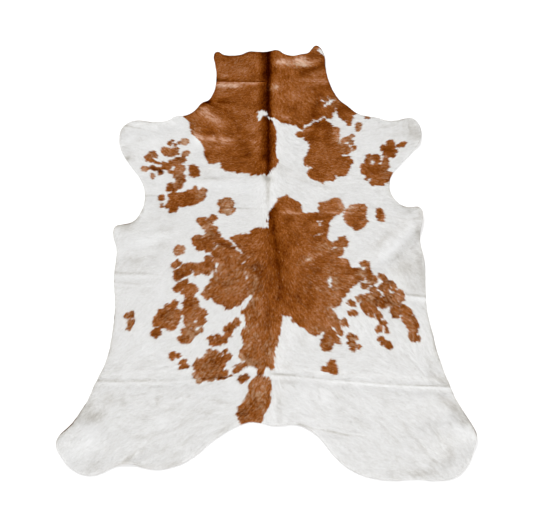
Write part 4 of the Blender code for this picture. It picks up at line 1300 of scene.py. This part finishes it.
def skin_material():
    """The skin between the roots of the hair: the same coat, a little duller, and leather at its edge."""
    material, tree, finish = new_material("coat at the roots", {"Roughness": 0.6, "Specular IOR Level": 0.0})
    edge = ranged(tree, attribute(tree, "edge"), -SKIN_BLEND, SKIN_BLEND)
    leather = colours(tree, noise(tree, scale=160, detail=3.0), LEATHERS)
    tree.links.new(mixed(tree, edge, leather, coat_colour(tree)), finish.inputs["Base Color"])
    pores = noise(tree, scale=700, detail=3.0, roughness=0.6)
    bumped(tree, finish, pores, distance=0.0006, strength=0.6)
    return material


def edge_material():
    material, tree, finish = new_material("cut leather edge", {"Roughness": 0.72})
    leather = colours(tree, noise(tree, scale=220, detail=4.0), LEATHERS)
    tree.links.new(leather, finish.inputs["Base Color"])
    fibres = noise(tree, scale=900, detail=3.0, roughness=0.6)
    bumped(tree, finish, fibres, distance=0.0004, strength=0.7)
    return material


def suede_material():
    settings = {"Roughness": 0.9, "Specular IOR Level": 0.2, "Sheen Weight": 0.3, "Sheen Roughness": 0.5}
    material, tree, finish = new_material("suede underside", settings)
    suede = colours(tree, noise(tree, scale=9, detail=6.0, roughness=0.62), SUEDES)
    tree.links.new(suede, finish.inputs["Base Color"])
    nap = noise(tree, scale=480, detail=5.0, roughness=0.65)
    bumped(tree, finish, nap, distance=0.0005, strength=0.8)
    return material


def floor_material():
    material, tree, finish = new_material("pale floor", {"Roughness": 0.8, "Specular IOR Level": 0.1})
    tree.links.new(colours(tree, noise(tree, scale=3), FLOORS), finish.inputs["Base Color"])
    return material


# The pieces.


def mesh_object(name, points, triangles, charts, materials):
    """An object made of arrays of points and triangles, with the coat's values at its points."""
    mesh = bpy.data.meshes.new(name)
    mesh.vertices.add(len(points))
    mesh.vertices.foreach_set("co", points.astype(np.float32).ravel())
    mesh.loops.add(triangles.size)
    mesh.loops.foreach_set("vertex_index", triangles.astype(np.int32).ravel())
    mesh.polygons.add(len(triangles))
    mesh.polygons.foreach_set("loop_start", np.arange(0, triangles.size, 3, dtype=np.int32))
    for label, values in charts.items():
        kept = mesh.attributes.new(label, "FLOAT", "POINT")
        kept.data.foreach_set("value", values.astype(np.float32))
    for material in materials:
        mesh.materials.append(material)
    mesh.update(calc_edges=True)
    piece = bpy.data.objects.new(name, mesh)
    bpy.context.scene.collection.objects.link(piece)
    return piece


def unwrap(piece, places):
    """The piece's own map, a place in the square for each corner of its faces."""
    layer = piece.data.uv_layers.new(name="OFBake")
    layer.data.foreach_set("uv", places.astype(np.float32).ravel())


def even_points(spacing, edge, margin, number):
    """Points in even rows, a little off their places, further inside the edge than the margin."""
    rows = np.arange(-CHART_HALF[1], CHART_HALF[1], spacing * math.sqrt(3) / 2)
    columns = np.arange(-CHART_HALF[0], CHART_HALF[0], spacing)
    grid_x, grid_y = np.meshgrid(columns, rows)
    grid_x = grid_x + (np.arange(len(rows)) % 2)[:, None] * spacing / 2
    grid = np.column_stack([grid_x.ravel(), grid_y.ravel()])
    draws = np.random.default_rng(SEED + number)
    grid += draws.uniform(-POINT_SPREAD, POINT_SPREAD, grid.shape) * spacing
    return grid[read(edge, *grid.T) > margin]


def filled(ring, inset, spacing, edge, number):
    """A flat mesh inside the ring: the ring, a second ring that follows it inside, and even rows.

    It gives the places of its points, its triangles, and which point each one of the ring has become.
    """
    inner = ring - outward(ring) * inset
    keep = read(edge, *inner.T) > inset * INSET_KEPT
    grid = even_points(spacing, edge, inset + ROWS_FROM_INSET * spacing, number)
    points = [Vector(point) for point in np.vstack([ring, inner[keep], grid]).tolist()]
    made = delaunay_2d_cdt(points, [], [list(range(len(ring)))], 1, TOUCHING)
    places, triangles, origins = np.array([tuple(co) for co in made[0]]), np.array(made[2]), made[3]
    order = np.full(len(ring), -1)
    for new, olds in enumerate(origins):
        for old in olds:
            if old < len(ring):
                order[old] = new
    if (order < 0).any():
        raise RuntimeError("the edge lost points when it was filled")
    ahead = places[triangles[:, 1]] - places[triangles[:, 0]]
    aside = places[triangles[:, 2]] - places[triangles[:, 0]]
    back_to_front = ahead[:, 0] * aside[:, 1] - ahead[:, 1] * aside[:, 0] < 0
    triangles[back_to_front] = triangles[back_to_front][:, ::-1]
    return places, triangles, order


def make_sheet(ring, charts):
    """The hide's skin: a top that carries the coat, an underside, and the cut edge between them."""
    edge, lift = charts["edge"], charts["lift"]
    top, top_triangles, top_rim = filled(ring, BARE_EDGE, TOP_SPACING, edge, DRAWS["top"])
    under, under_triangles, under_rim = filled(ring, BARE_EDGE * 2, UNDER_SPACING, edge, DRAWS["under"])
    grain = SKIN_GRAIN * read(charts["locks"], *top.T) * ease(read(edge, *top.T) / GRAIN_FROM_EDGE)
    top_z = read(lift, *top.T) + LEATHER + grain
    top_z[top_rim] -= EDGE_ROUND
    flat = np.vstack([top, under])
    points = np.column_stack([flat, np.concatenate([top_z, read(lift, *under.T)])])
    low_rim = under_rim + len(top)
    next_top, next_low = np.roll(top_rim, -1), np.roll(low_rim, -1)
    halves = [(top_rim, low_rim, next_low), (top_rim, next_low, next_top)]
    wall = np.vstack([np.column_stack(half) for half in halves])
    triangles = np.vstack([top_triangles, under_triangles[:, ::-1] + len(top), wall])
    seen = coloured(*flat.T)
    kept = {label: read(charts[label], *seen) for label in ("patch", "tone", "mixed", "line", "shade")}
    kept["edge"] = read(edge, *flat.T) - read(charts["bare"], *flat.T)
    kept["edge"][top_rim] = -BARE_EDGE
    finishes = [skin_material(), suede_material(), edge_material()]
    sheet = mesh_object("cowhide", points, triangles, kept, finishes)
    finish = np.repeat([0, 1, 2], [len(top_triangles), len(under_triangles), len(wall)]).astype(np.int32)
    sheet.data.polygons.foreach_set("material_index", finish)
    sheet.data.polygons.foreach_set("use_smooth", np.ones(len(triangles), dtype=bool))
    places = (flat + MAP_CORNER) / MAP_SIDE
    places[len(top):] = (under + MAP_CORNER) / UNDER_MAP_SIDE + UNDER_PLACE
    out = np.zeros_like(flat)
    out[low_rim] = outward(ring) * WALL_STRIP
    corners = places[triangles.ravel()]
    corners[-wall.size:] = ((flat + out)[wall.ravel()] + MAP_CORNER) / MAP_SIDE
    unwrap(sheet, corners)
    return sheet


def make_hair(charts):
    """All the hair: one tapered blade for each root, laid along the growth of the coat."""

    def at(places, *labels):
        values = [read(charts[label], *places.T) for label in labels]
        return values if len(labels) > 1 else values[0]

    draws = np.random.default_rng(SEED + DRAWS["hair"])
    spacing = math.sqrt(FLAT_AREA / HAIR_COUNT)
    columns = np.arange(-CHART_HALF[0], CHART_HALF[0], spacing)
    rows = np.arange(-CHART_HALF[1], CHART_HALF[1], spacing)
    grid_x, grid_y = np.meshgrid(columns, rows)
    root = np.column_stack([grid_x.ravel(), grid_y.ravel()])
    root += draws.uniform(0, spacing, root.shape)
    root = root[at(root, "edge") > at(root, "bare")]
    count = len(root)
    locks, fine = at(root, "locks", "fine")
    heading = np.arctan2(read(GROWTH_Y, *root.T), read(GROWTH_X, *root.T))
    heading += HEADINGS[0] * locks + HEADINGS[1] * fine + HEADINGS[2] * draws.standard_normal(count)
    way = np.column_stack([np.cos(heading), np.sin(heading)])
    way += TURNED_OUT * at(root, "hung")[:, None] * np.column_stack(at(root, "out_x", "out_y"))
    way /= np.hypot(*way.T)[:, None]
    length = HAIR_LENGTH * draws.uniform(*LENGTHS, count) * (1 - PARTED * at(root, "parted"))
    reached = at(root + way * length[:, None], "edge")
    stop = KEPT_BACK * at(root, "bare") - OVERHANG * at(root, "low")
    stop *= draws.uniform(*KEPT_BACK_SPREAD, count)
    length = np.maximum(length - np.clip(stop - reached, 0, None) * CUT_BACK, SHORTEST)
    (clump_x, clump_y, own), _ = nearest_middles(*root.T, CLUMP, DRAWS["clumps"])
    clump = np.column_stack([clump_x * CLUMP - 2 * CLUMP + ACROSS[0], clump_y * CLUMP - 2 * CLUMP + ALONG[0]])
    tip = root + way * length[:, None] + CLUMPING * (clump - root)
    roll = ROLLS[0] * draws.standard_normal(count) + ROLLS[1] * fine
    half = HAIR_WIDTH / 2 * draws.uniform(*WIDTHS, count)
    aside = np.column_stack([-way[:, 1], way[:, 0]]) * (half * np.cos(roll))[:, None]
    lean = half * np.sin(roll)
    root_z = at(root, "lift") + LEATHER + ROOT_RISE
    rise = HAIR_RISE * (1 + RISES[0] * draws.standard_normal(count) + RISES[1] * locks)
    rise *= np.where(at(tip, "edge") > EDGE_RISE[0], 1.0, EDGE_RISE[1])
    tip_z = at(tip, "lift") + LEATHER + np.clip(rise, ROOT_RISE, HIGHEST_RISE * HAIR_RISE)
    points = np.empty((count, 3, 3))
    points[:, 0] = np.column_stack([root - aside, root_z - lean])
    points[:, 1] = np.column_stack([root + aside, root_z + lean])
    points[:, 2] = np.column_stack([tip, tip_z])
    points[:, :2, 2] = np.maximum(points[:, :2, 2], (root_z - ROOT_DEPTH)[:, None])

    def varied(spread):
        """How the hairs' colours differ: by clump and by hair."""
        return spread[0] * (own - 0.5) + spread[1] * draws.standard_normal(count)

    seen = np.column_stack(coloured(*(root + way * length[:, None] * SEEN).T))
    patch = at(seen, "patch") + FRINGE_OF_HAIR * draws.standard_normal(count)
    share, chance = at(seen, "mixed"), draws.uniform(0, 1, count)
    flecked = chance < share * (PALE_CHANCE[0] + PALE_CHANCE[1] * own)
    kept = {
        "patch": patch,
        "tone": at(seen, "tone") + varied(TONES_OF_HAIR),
        "mixed": np.where(flecked, draws.uniform(*PALE_SHARE, count), PALE_BETWEEN * share),
        "line": at(seen, "line") * (1 + varied(LINE_OF_HAIR)),
        "shade": at(seen, "shade") + varied(SHADES_OF_HAIR),
    }
    return hair_pieces(root, points, kept)


def hair_pieces(root, points, kept):
    """The hair in pieces of equal size, from the tail end to the neck."""
    material = hair_material()
    pieces = []
    shares = np.quantile(root[:, 1], np.linspace(0, 1, len(HAIR_PIECES) + 1))
    for name, low, high in zip(HAIR_PIECES, shares[:-1], shares[1:]):
        chosen = np.flatnonzero((root[:, 1] >= low) & ((root[:, 1] < high) | (high == shares[-1])))
        corners = points[chosen].reshape(-1, 3)
        values = {label: np.repeat(value[chosen], 3) for label, value in kept.items()}
        piece = mesh_object(name, corners, np.arange(len(corners)).reshape(-1, 3), values, [material])
        flat = corners[:, :2]
        lowest, highest = flat.min(axis=0), flat.max(axis=0)
        unwrap(piece, MAP_MARGIN + (1 - 2 * MAP_MARGIN) * (flat - lowest) / (highest - lowest))
        pieces.append(piece)
    return pieces


# The studio.


def make_floor():
    bpy.ops.object.select_all(action="DESELECT")
    bpy.ops.mesh.primitive_plane_add(size=FLOOR_SIDE, location=(0, 0, -FLOOR_GAP))
    floor = bpy.context.object
    floor.name = "floor"
    bpy.ops.object.transform_apply(location=True, rotation=False, scale=False)
    floor.data.materials.append(floor_material())


def soft_light(name, place, target, size, power):
    data = bpy.data.lights.new(name, "AREA")
    data.shape = "RECTANGLE"
    data.size, data.size_y = size
    data.energy = power
    light = bpy.data.objects.new(name, data)
    light.location = place
    light.rotation_euler = (Vector(target) - Vector(place)).to_track_quat("-Z", "Y").to_euler()
    light.visible_camera = False
    bpy.context.scene.collection.objects.link(light)


def make_studio():
    world = bpy.data.worlds.new("soft studio")
    world.use_nodes = True
    sky = world.node_tree.nodes["Background"]
    sky.inputs["Color"].default_value = (1, 1, 1, 1)
    sky.inputs["Strength"].default_value = SKY_STRENGTH
    bpy.context.scene.world = world
    bpy.context.scene.view_settings.view_transform = "Standard"
    for light in LIGHTS:
        soft_light(*light)


def make_camera():
    """The photograph's view: from the tail end, looking down at the hide."""
    data = bpy.data.cameras.new("camera")
    data.sensor_width = SENSOR
    data.lens = FOCAL_PIXELS * SENSOR / PHOTO_WIDTH_PIXELS
    camera = bpy.data.objects.new("camera", data)
    elevation = math.radians(CAMERA_ELEVATION)
    away = Vector((0, -math.cos(elevation), math.sin(elevation)))
    camera.location = Vector(CAMERA_AIM) + CAMERA_DISTANCE * away
    camera.rotation_euler = (math.pi / 2 - elevation, 0, 0)
    bpy.context.scene.collection.objects.link(camera)
    bpy.context.scene.camera = camera


def main():
    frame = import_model()
    ring = cut_edge(frame["nodes"]["hide"])
    charts = coat_charts(ring)
    sheet = make_sheet(ring, charts)
    hair = make_hair(charts)
    for piece in [sheet, *hair]:
        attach(piece, "root")
    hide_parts("hide")
    make_floor()
    make_studio()
    make_camera()


main()
